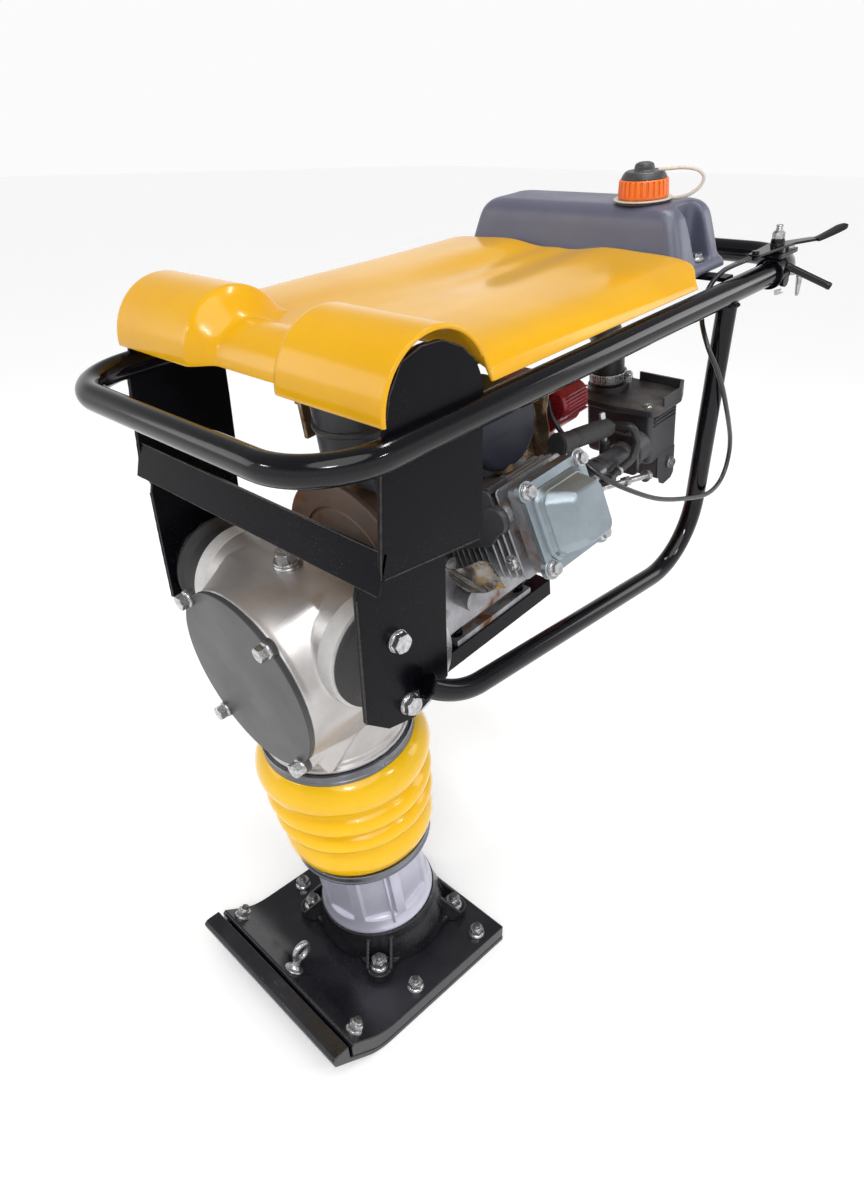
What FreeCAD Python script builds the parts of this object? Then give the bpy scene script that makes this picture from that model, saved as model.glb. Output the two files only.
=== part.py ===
import FreeCAD, Part
import math
import os

# Tamping rammer (jumping jack).  Millimetres, +Z up, front (toe of the shoe) towards -Y,
# operator at +Y.  Origin: where the axis of the leg meets the ground, under the flat sole.

# ---------------------------------------------------------------- driving dimensions
LEAN = 9.41            # forward lean of leg, housing and engine, degrees
DECK_ANGLE = 6.856     # rise of the handle rails to the rear, degrees
DECK_Y, DECK_Z = -226.9, 804.5   # centre line of the front handle bar

SHOE_HALF_W = 142.5
SHOE_REAR = 98.0
SHOE_KNEE = -143.0
TOE_Y, TOE_Z = -211.0, 44.0
SOLE_T = 8.0
SHOE_T = 27.8
BOLT_X = 122.6
BOLT_ROWS = (-59.0, 62.0)
TOE_BOLT_Y = -166.0

FOOT_Y = -5.5
FOOT_P = 72.1          # half pitch of the four foot studs
LEG_R = 74.6
LEG_W0, LEG_W1 = 92.0, 216.0
RING_LO = (216.0, 226.0, 89.8)
RING_UP = (402.0, 412.0, 92.9)
SPRING_TUBE_R, SPRING_TUBE_BORE = 50.0, 44.0
SPRING_TUBE_TOP = 380.0
GUIDE_BORE, GUIDE_R = 50.06, 60.0

CASE_W = 543.0         # height of the crank gear axis along the leg
CASE_R = 105.0
CASE_V0, CASE_V1 = -90.0, 62.0
COVER_R, COVER_T = 107.0, 6.0
COVER_BOLT = (71.0, 79.0)
STUB = 1.5
MOUNT_V, MOUNT_W, MOUNT_R = -5.9, 583.7, 61.0
BOSS_X = 122.3

GEAR_M = 2.0
GEAR_N, PINION_N = 46, 16
CRANK_THROW = 32.0
ROD_PIN_W = 425.0
SHAFT_W = CASE_W + GEAR_M * (GEAR_N + PINION_N) / 2.0

CYL_TILT = 20.0        # cylinder above horizontal, towards +X
HEAD_D = (166.0, 223.0)
CYL_V = 177.0

TUBE_R = 13.45
GUARD_R = 11.2
RAIL_X = 203.1
LOOP_LEN = 770.0
LOOP_BEND = 72.0
PLATE_T = 5.0
PLATE_UP_X, PLATE_LO_X = 198.0, 172.0
BRACKET_BOLTS = ((-125.0, 622.0), (-112.0, 546.0))

HOOD_X = 205.0
HOOD_T = 3.0
HUMP_R, HUMP_S, HUMP_TC = 61.0, 129.0, 21.0
SADDLE_R, SADDLE_S, SADDLE_TC = 40.0, 125.0, 15.0
HOOD_EDGE = 20.0
HOOD_END = 541.0

TANK_BOT = (162.0, 548.0, 648.0, 12.0)
TANK_TOP = (139.0, 562.0, 652.0, 85.0)
CAP_U, CAP_S = 80.0, 598.0

CABLE_D = 5.5

OUT = "parts"
os.makedirs(OUT, exist_ok=True)
V = FreeCAD.Vector
SL, CL = math.sin(math.radians(LEAN)), math.cos(math.radians(LEAN))
SD, CD = math.sin(math.radians(DECK_ANGLE)), math.cos(math.radians(DECK_ANGLE))


# ---------------------------------------------------------------- helpers
def M(shape):
    """Machine frame (u, v, w) to part frame."""
    s = shape.copy()
    s.rotate(V(0, 0, 0), V(1, 0, 0), LEAN)
    return s


def D(shape):
    """Handle deck frame (u, s, t) to part frame."""
    s = shape.copy()
    s.rotate(V(0, 0, 0), V(1, 0, 0), DECK_ANGLE)
    s.translate(V(0, DECK_Y, DECK_Z))
    return s


def d2x(u, s, t):
    return V(u, DECK_Y + s * CD - t * SD, DECK_Z + s * SD + t * CD)


def box(x0, y0, z0, x1, y1, z1):
    return Part.makeBox(x1 - x0, y1 - y0, z1 - z0, V(x0, y0, z0))


def cyl(p, d, r, h):
    return Part.makeCylinder(r, h, V(*p), V(*d))


def cone(p, d, r1, r2, h):
    return Part.makeCone(r1, r2, h, V(*p), V(*d))


def ring(p, d, ro, ri, h):
    return cyl(p, d, ro, h).cut(cyl(p, d, ri, h))


def poly(pts):
    return Part.Face(Part.makePolygon([V(*p) for p in pts] + [V(*pts[0])]))


def prism_x(yz, x0, x1):
    return poly([(x0, a, b) for a, b in yz]).extrude(V(x1 - x0, 0, 0))


def prism_y(xz, y0, y1):
    return poly([(a, y0, b) for a, b in xz]).extrude(V(0, y1 - y0, 0))


def prism_z(xy, z0, z1):
    return poly([(a, b, z0) for a, b in xy]).extrude(V(0, 0, z1 - z0))


def hexa(p, d, af, h):
    """Hexagonal prism with its base centre at p, along d."""
    r = af / math.sqrt(3.0)
    pts = [V(r * math.cos(math.radians(60 * k + 30)), r * math.sin(math.radians(60 * k + 30)), 0) for k in range(6)]
    s = Part.Face(Part.makePolygon(pts + [pts[0]])).extrude(V(0, 0, h))
    s.Placement = FreeCAD.Placement(V(*p), FreeCAD.Rotation(V(0, 0, 1), V(*d)))
    return s


def fuse(*s):
    r = s[0]
    if len(s) > 1:
        r = s[0].multiFuse(list(s[1:]))
    return r.removeSplitter()


def cut(a, *b):
    for t in b:
        a = a.cut(t)
    return a


def fil(s, r, pick=None):
    es = [e for e in s.Edges if pick is None or pick(e)]
    try:
        f = s.makeFillet(r, es)
        if f.isValid() and f.Volume > 0:
            return f
    except Exception:
        pass
    return s


def mirror(s):
    return s.mirror(V(0, 0, 0), V(1, 0, 0))


def group(*s):
    return Part.makeCompound(list(s))


def rev(pts, p=(0, 0, 0), d=(0, 0, 1)):
    """Revolve an (r, h) profile round the axis through p along d."""
    f = Part.Face(Part.makePolygon([V(a, 0, b) for a, b in pts] + [V(pts[0][0], 0, pts[0][1])]))
    s = f.revolve(V(0, 0, 0), V(0, 0, 1), 360)
    s.Placement = FreeCAD.Placement(V(*p), FreeCAD.Rotation(V(0, 0, 1), V(*d)))
    return s


def route(pts, radii=None, k=0.45, report=None):
    """Wire of straight runs joined by tangent arcs through the corners pts."""
    P = [V(*p) for p in pts]
    edges, cur, out = [], P[0], []
    for i in range(1, len(P) - 1):
        a, b, c = P[i - 1], P[i], P[i + 1]
        d1, d2 = (a - b), (c - b)
        l1, l2 = d1.Length, d2.Length
        d1.normalize()
        d2.normalize()
        turn = math.pi - d1.getAngle(d2)
        r = (k * min(l1, l2) / math.tan(turn / 2)) if radii is None else radii[i - 1]
        tl = r * math.tan(turn / 2)
        p1, p2 = b + d1 * tl, b + d2 * tl
        bis = d1 + d2
        bis.normalize()
        cen = b + bis * (r / math.cos(turn / 2))
        mid = cen - bis * r
        if (p1 - cur).Length > 1e-4:
            edges.append(Part.LineSegment(cur, p1).toShape())
        edges.append(Part.Arc(p1, mid, p2).toShape())
        out.append((round(r, 1), round(math.degrees(turn), 1)))
        cur = p2
    edges.append(Part.LineSegment(cur, P[-1]).toShape())
    if report:
        print(report, "radii, turns:", out)
    return Part.Wire(edges)


def tube(wire, r):
    e = wire.Edges[0]
    p = e.valueAt(e.FirstParameter)
    t = e.tangentAt(e.FirstParameter)
    c = Part.Wire(Part.makeCircle(r, p, t))
    s = wire.makePipeShell([c], True, False)
    if s.Volume < 0:
        s.reverse()
    return s


def nut_stack(p, d, r, af, washer_r, stud_h, nut_h=9.0, washer_t=2.0):
    """Washer, flanged dome nut and stud end standing on a surface at p along d."""
    P, N = V(*p), V(*d)
    N.normalize()
    w = cyl(P, N, washer_r, washer_t).cut(cyl(P, N, r + 0.3, washer_t))
    q = P + N * washer_t
    n = hexa(q, N, af, nut_h)
    n = fuse(n, cyl(q, N, af * 0.62, 2.0), cyl(q + N * nut_h, N, af * 0.40, 2.5))
    n = n.cut(cyl(q, N, r + 0.1, nut_h + 3))
    return w, n


def bolt(p, d, r, length, af, head_h, washer_r=0.0, washer_t=0.0):
    """Hexagon-head bolt: shank from p against d, head standing along d."""
    P, N = V(*p), V(*d)
    N.normalize()
    s = [cyl(P - N * length, N, r, length + washer_t), hexa(P + N * washer_t, N, af, head_h)]
    if washer_t:
        s.append(cyl(P, N, washer_r, washer_t))
    return fuse(*s)


NODES = {}


def node(name, shape):
    NODES[name] = shape


# ---------------------------------------------------------------- shoe
sl = math.hypot(TOE_Y - SHOE_KNEE, TOE_Z)
tdir = ((TOE_Y - SHOE_KNEE) / sl, TOE_Z / sl)          # along the turned-up toe
tn = (tdir[1], -tdir[0])                               # its normal, up and back


def toe(dist, off):
    return (SHOE_KNEE + tdir[0] * dist + tn[0] * off, tdir[1] * dist + tn[1] * off)


def toe_at_z(off, z):
    d = (z - tn[1] * off) / tdir[1]
    return toe(d, off)


def toe_at_y(off, y):
    d = (y - SHOE_KNEE - tn[0] * off) / tdir[0]
    return toe(d, off)


sole = prism_x([(SHOE_REAR, 0), (SHOE_KNEE, 0), (TOE_Y, TOE_Z), (TOE_Y - 3, 56), (TOE_Y + 1, 60.5), (-188, 61.8),
                toe_at_y(SOLE_T, -188), toe_at_z(SOLE_T, SOLE_T), (SHOE_REAR, SOLE_T)], -SHOE_HALF_W, SHOE_HALF_W)
block = prism_x([(SHOE_REAR, SOLE_T), toe_at_z(SOLE_T, SOLE_T), toe_at_y(SOLE_T, -184), (-184, 55.5),
                 toe_at_y(SHOE_T, -180.5), toe_at_z(SHOE_T, SHOE_T), (SHOE_REAR, SHOE_T)], -SHOE_HALF_W, SHOE_HALF_W)
block = fil(block, 3.0, lambda e: abs(e.BoundBox.YMin - SHOE_REAR) < .1 and e.BoundBox.ZLength > 15 and abs(e.BoundBox.YMax - SHOE_REAR) < .1)

sb_parts = []
holes = []
seats = []
for x in (-BOLT_X, BOLT_X):
    for y in BOLT_ROWS:
        seats.append(((x, y, SHOE_T), (0, 0, 1), SHOE_T - 2.5))
    ty, tz = toe_at_y(SHOE_T, TOE_BOLT_Y)
    seats.append(((x, ty, tz), (0, tn[0], tn[1]), SHOE_T - 2.5))
for p, d, depth in seats:
    P, N = V(*p), V(*d)
    sh = fuse(cyl(P - N * depth, N, 5.0, depth + 17), cone(P - N * depth, N, 10.0, 5.0, 5.0))
    holes.append(fuse(cyl(P - N * (depth + 6), N, 5.3, depth + 30), cone(P - N * depth, N, 10.3, 5.3, 5.0),
                      cyl(P - N * (depth + 6), N, 10.3, 6.0)))
    w, n = nut_stack(p, d, 5.0, 17.0, 11.0, 17)
    sb_parts += [sh, w, n]
node("sole_bolts", group(*sb_parts))

# lifting eye on the toe
ey, ez = toe_at_y(SHOE_T, -166.0)
N = V(0, tn[0], tn[1])
E0 = V(0, ey, ez)
eye = fuse(cyl(E0 - N * 15, N, 5.0, 15), cyl(E0, N, 13.0, 3.0), cone(E0 + N * 3, N, 9.0, 5.5, 7),
           cyl(E0 + N * 8, N, 5.2, 8), Part.makeTorus(11.0, 4.2, E0 + N * 27, V(1, 0, 0)))
node("eye_bolt", eye)
holes.append(cyl(E0 - N * 15.5, N, 5.3, 40))

# foot casting: flange with four lugs, collar round the leg, ribs
fl = prism_z([(-58, FOOT_Y - 80), (58, FOOT_Y - 80), (80, FOOT_Y - 58), (80, FOOT_Y + 58), (58, FOOT_Y + 80),
              (-58, FOOT_Y + 80), (-80, FOOT_Y + 58), (-80, FOOT_Y - 58)], SHOE_T, SHOE_T + 9)
lugs = [cyl((sx * FOOT_P, FOOT_Y + sy * FOOT_P, SHOE_T), (0, 0, 1), 18.5, 13.5) for sx in (-1, 1) for sy in (-1, 1)]
collar = M(rev([(0, 5), (90, 5), (88, 55), (82, 78), (80.5, LEG_W0), (0, LEG_W0)]))
collar = collar.cut(box(-150, -150, -60, 150, 150, SHOE_T))
ribs = []
for sx in (-1, 1):
    for sy in (-1, 1):
        ang = math.degrees(math.atan2(sy, sx))
        for off in (-15.5, 15.5):
            r = poly([(62, off - 2.5, SHOE_T + 8), (112, off - 2.5, SHOE_T + 8), (112, off - 2.5, SHOE_T + 17),
                      (84, off - 2.5, SHOE_T + 46), (62, off - 2.5, SHOE_T + 50)]).extrude(V(0, 5, 0))
            r.rotate(V(0, 0, 0), V(0, 0, 1), ang)
            r.translate(V(0, FOOT_Y, 0))
            ribs.append(r)
foot = fuse(fl, collar, *(lugs + ribs))
foot = foot.cut(M(cyl((0, 0, 40), (0, 0, 1), 70.2, 80)))
fn, studs = [], []
for sx in (-1, 1):
    for sy in (-1, 1):
        p = (sx * FOOT_P, FOOT_Y + sy * FOOT_P, SHOE_T + 13.5)
        foot = foot.cut(cyl((p[0], p[1], SHOE_T), (0, 0, 1), 6.3, 40))
        foot = foot.cut(cyl((p[0], p[1], SHOE_T + 13.5), (0, 0, 1), 12.8, 40))
        st = cyl((p[0], p[1], 12.0), (0, 0, 1), 6.0, SHOE_T + 13.5 + 19 - 12)
        holes.append(cyl((p[0], p[1], 11.8), (0, 0, 1), 6.3, 40))
        w, n = nut_stack(p, (0, 0, 1), 6.0, 19.0, 12.4, 19, 10.5)
        fn += [st, w, n]
node("foot_casting", foot)
node("foot_nuts", group(*fn))
for h in holes:
    sole = sole.cut(h)
    block = block.cut(h)
node("sole_plate", sole)
node("shoe_block", block)

# ---------------------------------------------------------------- leg
leg = rev([(0, 50), (70, 50), (70, LEG_W0), (LEG_R + 3.5, LEG_W0), (LEG_R + 3.5, LEG_W0 + 4), (LEG_R, LEG_W0 + 16),
           (LEG_R, LEG_W1 - 10), (83, LEG_W1 - 3), (83, LEG_W1), (0, LEG_W1)])
for a in range(0, 360, 45):
    pocket = box(LEG_R - 5.5, -21, LEG_W0 + 22, LEG_R + 20, 21, LEG_W1 - 13)
    pocket.rotate(V(0, 0, 0), V(0, 0, 1), a + 10)
    leg = leg.cut(pocket)
leg = fuse(leg, cyl((0, 0, LEG_W1), (0, 0, 1), 80.0, 10.0), cyl((0, 0, LEG_W1 + 9), (0, 0, 1), SPRING_TUBE_R, SPRING_TUBE_TOP - LEG_W1 - 9))
leg = leg.cut(cyl((0, 0, 108), (0, 0, 1), SPRING_TUBE_BORE, SPRING_TUBE_TOP - 8 - 108))
leg = leg.cut(cyl((0, 0, 300), (0, 0, 1), 12.06, 100))
node("spring_cylinder", M(leg))
node("lower_ring", M(ring((0, 0, RING_LO[0]), (0, 0, 1), RING_LO[2], 83.2, RING_LO[1] - RING_LO[0])))


def coil(w0, w1, n, r, wire):
    return [M(Part.makeTorus(r, wire, V(0, 0, w0 + wire + (w1 - w0 - 2 * wire) * k / (n - 1)), V(0, 0, 1))) for k in range(n)]


node("ram_springs", group(*(coil(108.5, 249.5, 8, 33.0, 5.0) + coil(262.5, 371.5, 7, 33.0, 5.0))))

plunger = fuse(cyl((0, 0, 238), (0, 0, 1), 15, 13), cyl((0, 0, 250), (0, 0, 1), 43.6, 12), cyl((0, 0, 240), (0, 0, 1), 12.0, 168),
               box(-13, -17, 402, 13, 17, 412), box(-13, -13.5, 411, 13, -9.6, 438), box(-13, 9.6, 411, 13, 13.5, 438))
plunger = plunger.cut(cyl((0, -20, ROD_PIN_W), (0, 1, 0), 6.02, 40))
node("plunger", group(M(plunger), M(cyl((0, -13.5, ROD_PIN_W), (0, 1, 0), 6.0, 27))))

rod = fuse(ring((0, -9, ROD_PIN_W), (0, 1, 0), 12.0, 6.06, 18), ring((0, -9, CASE_W - CRANK_THROW), (0, 1, 0), 20.0, 12.02, 18),
           box(-6.5, -6, ROD_PIN_W + 10.5, 6.5, 6, CASE_W - CRANK_THROW - 18))
node("connecting_rod", group(M(rod), M(cyl((0, -14, CASE_W - CRANK_THROW), (0, 1, 0), 12.0, 27.5))))


# ---------------------------------------------------------------- gears
def gear(n, m, v0, v1, start, thick=0.44):
    rp = m * n / 2.0
    pts = []
    a = 2 * math.pi / n
    for k in range(n):
        c = math.radians(start) + a * k
        half = a * thick / 2
        for rr, dd in ((rp - 1.25 * m, 1.25 * m), (rp + 0.9 * m, -0.9 * m)):
            h = half + math.tan(math.radians(20)) * dd / rp
            if rr < rp:
                root = (rr, h)
            else:
                tip = (rr, h)
        pts += [(root[0], c - root[1]), (tip[0], c - tip[1]), (tip[0], c + tip[1]), (root[0], c + root[1])]
    face = Part.Face(Part.makePolygon([V(r * math.cos(t), v0, r * math.sin(t)) for r, t in pts] +
                                      [V(pts[0][0] * math.cos(pts[0][1]), v0, pts[0][0] * math.sin(pts[0][1]))]))
    return face.extrude(V(0, v1 - v0, 0))


cg = gear(GEAR_N, GEAR_M, 14, 30, 90)
cg = cg.cut(cyl((0, 13, 22), (0, 1, 0), 9, 20))
cg.translate(V(0, 0, CASE_W))
cg = fuse(cg, cyl((0, 29, CASE_W), (0, 1, 0), 12.0, 25))
node("crank_gear", M(cg))

pn = gear(PINION_N, GEAR_M, 14, 30, 90 + 180.0 / PINION_N)
pn.translate(V(0, 0, SHAFT_W))
drum = fuse(pn, cyl((0, 29, SHAFT_W), (0, 1, 0), 9.0, 50), cyl((0, 77, SHAFT_W), (0, 1, 0), 54.0, 4.0), ring((0, 80, SHAFT_W), (0, 1, 0), 54.0, 50.0, 25))
node("clutch_drum", M(drum))

shoes = []
for a in (0, 180):
    s = ring((0, 85, SHAFT_W), (0, 1, 0), 49.0, 24.0, 17)
    half = box(4, 80, SHAFT_W - 60, 60, 110, SHAFT_W + 60)
    half.rotate(V(0, 0, SHAFT_W), V(0, 1, 0), a + 25)
    shoes.append(M(s.common(half)))
node("clutch_shoes", group(*(shoes + [M(ring((0, 85, SHAFT_W), (0, 1, 0), 22.0, 11.0, 17))])))
shaft = fuse(cyl((0, 84, SHAFT_W), (0, 1, 0), 11.0, 226), cyl((0, 166, SHAFT_W), (0, 1, 0), 36.0, 8), cyl((0, 184, SHAFT_W), (0, 1, 0), 36.0, 8))
node("crankshaft", M(shaft))
fly = ring((0, 286, SHAFT_W), (0, 1, 0), 86.0, 11.0, 12)
blades = []
for k in range(12):
    b = box(40, 272, SHAFT_W - 1.5, 84, 287, SHAFT_W + 1.5)
    b.rotate(V(0, 0, SHAFT_W), V(0, 1, 0), 30 * k + 10)
    blades.append(b)
node("flywheel", M(fuse(fly, *blades)))

# ---------------------------------------------------------------- gear housing
outer = fuse(cyl((0, CASE_V0, CASE_W), (0, 1, 0), CASE_R, CASE_V1 - CASE_V0),
             cyl((-BOSS_X, MOUNT_V, MOUNT_W), (1, 0, 0), MOUNT_R, 2 * BOSS_X),
             rev([(0, 412), (88, 412), (88, 418), (81, 419), (79, 428), (74, 470), (74, 500), (0, 500)]))
for sx in (-1, 1):
    for sy in (-1, 1):
        outer = fuse(outer, cone((sx * COVER_BOLT[0], CASE_V0, CASE_W + sy * COVER_BOLT[1]), (0, 1, 0), 14.0, 9.0, 46))
inner = fuse(cyl((0, CASE_V0, CASE_W), (0, 1, 0), CASE_R - 8, CASE_V1 - CASE_V0 - 8),
             cyl((0, 0, 405), (0, 0, 1), 50.3, 90))
house = outer.cut(inner)
house = fuse(house, cyl((0, 33, CASE_W), (0, 1, 0), 33.0, 25), cyl((0, 33, SHAFT_W), (0, 1, 0), 25.0, 25))
house = cut(house, cyl((0, 32, CASE_W), (0, 1, 0), 26.0, 22.5), cyl((0, 32, SHAFT_W), (0, 1, 0), 20.0, 22.5), cyl((0, 30, SHAFT_W), (0, 1, 0), 10.0, 40))
for sx in (-1, 1):
    for sy in (-1, 1):
        house = house.cut(cyl((sx * COVER_BOLT[0], CASE_V0 - 1, CASE_W + sy * COVER_BOLT[1]), (0, 1, 0), 5.3, 26))
house = house.cut(cyl((0, -11, 630), (0, 0, 1), 10.3, 30))
node("gear_housing", M(house))
node("bearings", group(M(ring((0, 34, CASE_W), (0, 1, 0), 25.95, 12.05, 20)), M(ring((0, 34, SHAFT_W), (0, 1, 0), 19.95, 9.05, 20))))
node("oil_plug", M(fuse(cyl((0, -11, 633), (0, 0, 1), 10.0, 14), cyl((0, -11, 648.2), (0, 0, 1), 15.0, 4), cyl((0, -11, 646), (0, 0, 1), 10.0, 4),
                        hexa((0, -11, 652), (0, 0, 1), 22, 10))))

cover = cyl((0, CASE_V0 - COVER_T, CASE_W), (0, 1, 0), COVER_R, COVER_T)
stubs = []
for sx in (-1, 1):
    for sy in (-1, 1):
        x, w = sx * COVER_BOLT[0], CASE_W + sy * COVER_BOLT[1]
        cover = fuse(cover, cyl((x, CASE_V0 - COVER_T, w), (0, 1, 0), 13.0, COVER_T), cyl((x, CASE_V0 - COVER_T - STUB, w), (0, 1, 0), 9.0, STUB + 1))
cb = []
for sx in (-1, 1):
    for sy in (-1, 1):
        x, w = sx * COVER_BOLT[0], CASE_W + sy * COVER_BOLT[1]
        cover = cover.cut(cyl((x, CASE_V0 - COVER_T - 15, w), (0, 1, 0), 5.3, 30))
        cb.append(M(bolt((x, CASE_V0 - COVER_T - STUB, w), (0, -1, 0), 5.0, 28, 15.0, 7.5, 9.5, 2.0)))
node("housing_cover", M(cover))
node("cover_bolts", group(*cb))

gc = fuse(ring((0, 0, 250), (0, 0, 1), GUIDE_R, GUIDE_BORE, 160), ring((0, 0, 404), (0, 0, 1), 84.0, GUIDE_BORE, 8))
node("guide_cylinder", M(gc))
node("upper_ring", M(ring((0, 0, RING_UP[0]), (0, 0, 1), RING_UP[2], 84.3, RING_UP[1] - RING_UP[0])))

# bellows: four rolls, one wall
prof_o, prof_i = [], []
rolls = [(351.0, 401.8, 110.0, 96.0), (318.0, 351.0, 104.5, 95.0), (286.0, 318.0, 102.0, 93.0), (226.2, 286.0, 98.0, 88.5)]
for w0, w1, rmax, rmin in rolls:
    n = 10
    for k in range(n, -1, -1):
        f = k / n
        w = w0 + (w1 - w0) * f
        base = rmin + (0 if w1 < 400 else (-6.0 * f))
        bulge = math.sin(math.pi * min(max(f, 0.0), 1.0)) ** 0.62
        prof_o.append((base + (rmax - rmin) * bulge, w))
clean = [prof_o[0]]
for p in prof_o[1:]:
    if abs(p[1] - clean[-1][1]) > 0.01:
        clean.append(p)
outer_b = clean
inner_b = [(r - 3.5, w) for r, w in reversed(outer_b)]
node("bellows", M(rev(outer_b + inner_b)))

# rubber mounts on the side bosses
rm = []
for sx in (-1, 1):
    r = rev([(0, 0), (58, 0), (58, 4), (50, 12), (50, 30), (58, 38.4), (58, 42.3), (0, 42.3)])
    r.Placement = FreeCAD.Placement(V(sx * BOSS_X, MOUNT_V, MOUNT_W), FreeCAD.Rotation(V(0, 0, 1), V(sx, 0, 0)))
    rm.append(M(r))
node("rubber_mounts", group(*rm))

# ---------------------------------------------------------------- clutch housing and bed
ch = rev([(70, 62), (100, 62), (100, 70), (88, 72), (85, 96), (95, 99), (95, 112), (70, 112)], (0, 0, SHAFT_W), (0, 1, 0))
ch = ch.cut(box(-120, 60, 0, 120, 115, 500))
node("clutch_housing", M(ch))
bed = fuse(box(-98, 66, 486, 98, 292, 492), box(-98, 66, 462, -92, 292, 487), box(92, 66, 470, 98, 292, 487), box(-98, 62.2, 462, 98, 68, 492))
bed = bed.cut(cyl((0, 0, 400), (0, 0, 1), 80.0, 200).common(box(-90, -90, 400, 90, 90, 486.0))).cut(cyl((0, 0, 400), (0, 0, 1), 76.0, 200)).cut(cyl((0, CASE_V0, CASE_W), (0, 1, 0), CASE_R + 0.2, CASE_V1 - CASE_V0 + 0.1))
bb = [M(bolt((sx * 84, y, 500), (0, 0, 1), 4.0, 16, 12, 5.5, 8.0, 1.5)) for sx in (-1, 1) for y in (134, 244)]
for sx in (-1, 1):
    for y in (134, 244):
        bed = bed.cut(cyl((sx * 84, y, 480), (0, 0, 1), 4.3, 14))
node("bed_plate", group(M(bed), *bb))

# ---------------------------------------------------------------- engine
ct, st_ = math.cos(math.radians(CYL_TILT)), math.sin(math.radians(CYL_TILT))


def K(shape):
    """Cylinder frame: x along the cylinder, z across it; origin on the crank axis."""
    s = shape.copy()
    s.rotate(V(0, 0, 0), V(0, 1, 0), -CYL_TILT)
    s.translate(V(0, 0, SHAFT_W))
    return s


ec = prism_y([(-78, 500), (84, 500), (92, 512), (92, 668), (60, 692), (-40, 692), (-84, 660), (-88, 520)], 112.2, 262)
ec = fuse(ec, box(-96, 124, 492, 96, 256, 500), cyl((90, 144, 556), (1, 0, 0), 15, 24), cyl((88, 122, 609), (1, 0, 0), 10, 16))
ec = cut(ec, cyl((0, 110, SHAFT_W), (0, 1, 0), 56.0, 12.0), cyl((0, 110, SHAFT_W), (0, 1, 0), 11.4, 160), cyl((0, 150, SHAFT_W), (0, 1, 0), 50.0, 60))
keep = K(box(74, 100, -200, 400, 300, 200))
ec = ec.cut(K(box(80, CYL_V - 48, -52, 400, CYL_V + 48, 52)))
for sx in (-1, 1):
    for y in (134, 244):
        ec = ec.cut(cyl((sx * 84, y, 480), (0, 0, 1), 4.3, 24)).cut(cyl((sx * 84, y, 500), (0, 0, 1), 9.5, 12))
node("engine_crankcase", M(ec))

bar = box(80.2, CYL_V - 36, -38, 165.8, CYL_V + 36, 38)
fins = [box(d, CYL_V - 47.5, -51.5, d + 2.4, CYL_V + 47.5, 47.5) for d in (88, 97, 106, 115, 124, 133, 142, 151)]
node("cylinder_barrel", M(K(fuse(bar, *fins))))
head = box(HEAD_D[0], CYL_V - 38, -40, HEAD_D[1], CYL_V + 38, 40)
hf = [box(d, CYL_V - 50, -50, d + 3, CYL_V + 50, 47.2) for d in (166, 176, 186, 196)]
head = fuse(head, *hf, box(208, CYL_V - 45, -46, HEAD_D[1], CYL_V + 45, 46), cyl((172, CYL_V + 37.5, -6), (0, 1, 0), 16, 25.5))
node("cylinder_head", M(K(head)))

vc = fil(box(HEAD_D[1] + 0.2, CYL_V - 47, -47, 230.5, CYL_V + 47, 47), 10.0, lambda e: e.BoundBox.XLength > 5)
ears = [cyl((HEAD_D[1] + 0.2, CYL_V + sy * 40, sz * 40), (1, 0, 0), 11.0, 7.3) for sy in (-1, 1) for sz in (-1, 1)]
w1 = Part.makePolygon([V(230.4, CYL_V + a, b) for a, b in ((-34, -38), (34, -38), (38, -30), (38, 30), (34, 38), (-34, 38), (-38, 30), (-38, -30), (-34, -38))])
w2 = Part.makePolygon([V(258.0, CYL_V + a, b) for a, b in ((-12, -30), (24, -30), (30, -24), (30, 14), (24, 22), (-12, 22), (-18, 14), (-18, -24), (-12, -30))])
dome = Part.makeLoft([w1, w2], True, True)
vc = fuse(vc, dome, *ears)
vb = []
for sy in (-1, 1):
    for sz in (-1, 1):
        vc = vc.cut(cyl((HEAD_D[1], CYL_V + sy * 40, sz * 40), (1, 0, 0), 3.3, 9)).cut(cyl((230.5, CYL_V + sy * 40, sz * 40), (1, 0, 0), 9.3, 30))
        vb.append(M(K(bolt((230.5, CYL_V + sy * 40, sz * 40), (1, 0, 0), 3.0, 7.0, 11, 6, 8.5, 1.2))))
node("valve_cover", M(K(vc)))
node("valve_cover_bolts", group(*vb))

mu = fil(box(50, 138, 711, 147, 224, 796), 38.0, lambda e: e.BoundBox.XLength > 80)
mu = fil(mu, 4.0)
mu = fuse(mu, K(cyl((166, 180, 47.4), (0, 0, 1), 9.5, 16)))
node("muffler", M(mu))
sh = fuse(K(box(100, CYL_V - 52, -58, 162, CYL_V + 44, -56)), K(box(100, CYL_V - 54, -58, 162, CYL_V - 52, -10)))
sh = sh.cut(box(60, 100, 480, 92.2, 262, 700)).cut(cyl((88, 122, 609), (1, 0, 0), 10.3, 22))

boot_w = route([(165, 228.5, 721), (165, 275, 713), (164, 320, 704)], [300])
node("spark_plug_boot", M(tube(boot_w, 10.5)))
bh_w = route([(164, 320.2, 704), (164, 331, 702), (186, 336, 704), (188, 343, 684), (188, 334, 667), (188, 294, 663)], [6, 7, 8, 10])
node("breather_hose", M(tube(bh_w, 4.3)))
cbk = fuse(box(84, 262.4, 640, 112, 266, 750), box(84, 262.4, 747, 131, 279, 750))
node("engine_brackets", group(M(cbk), M(sh)))

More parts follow.
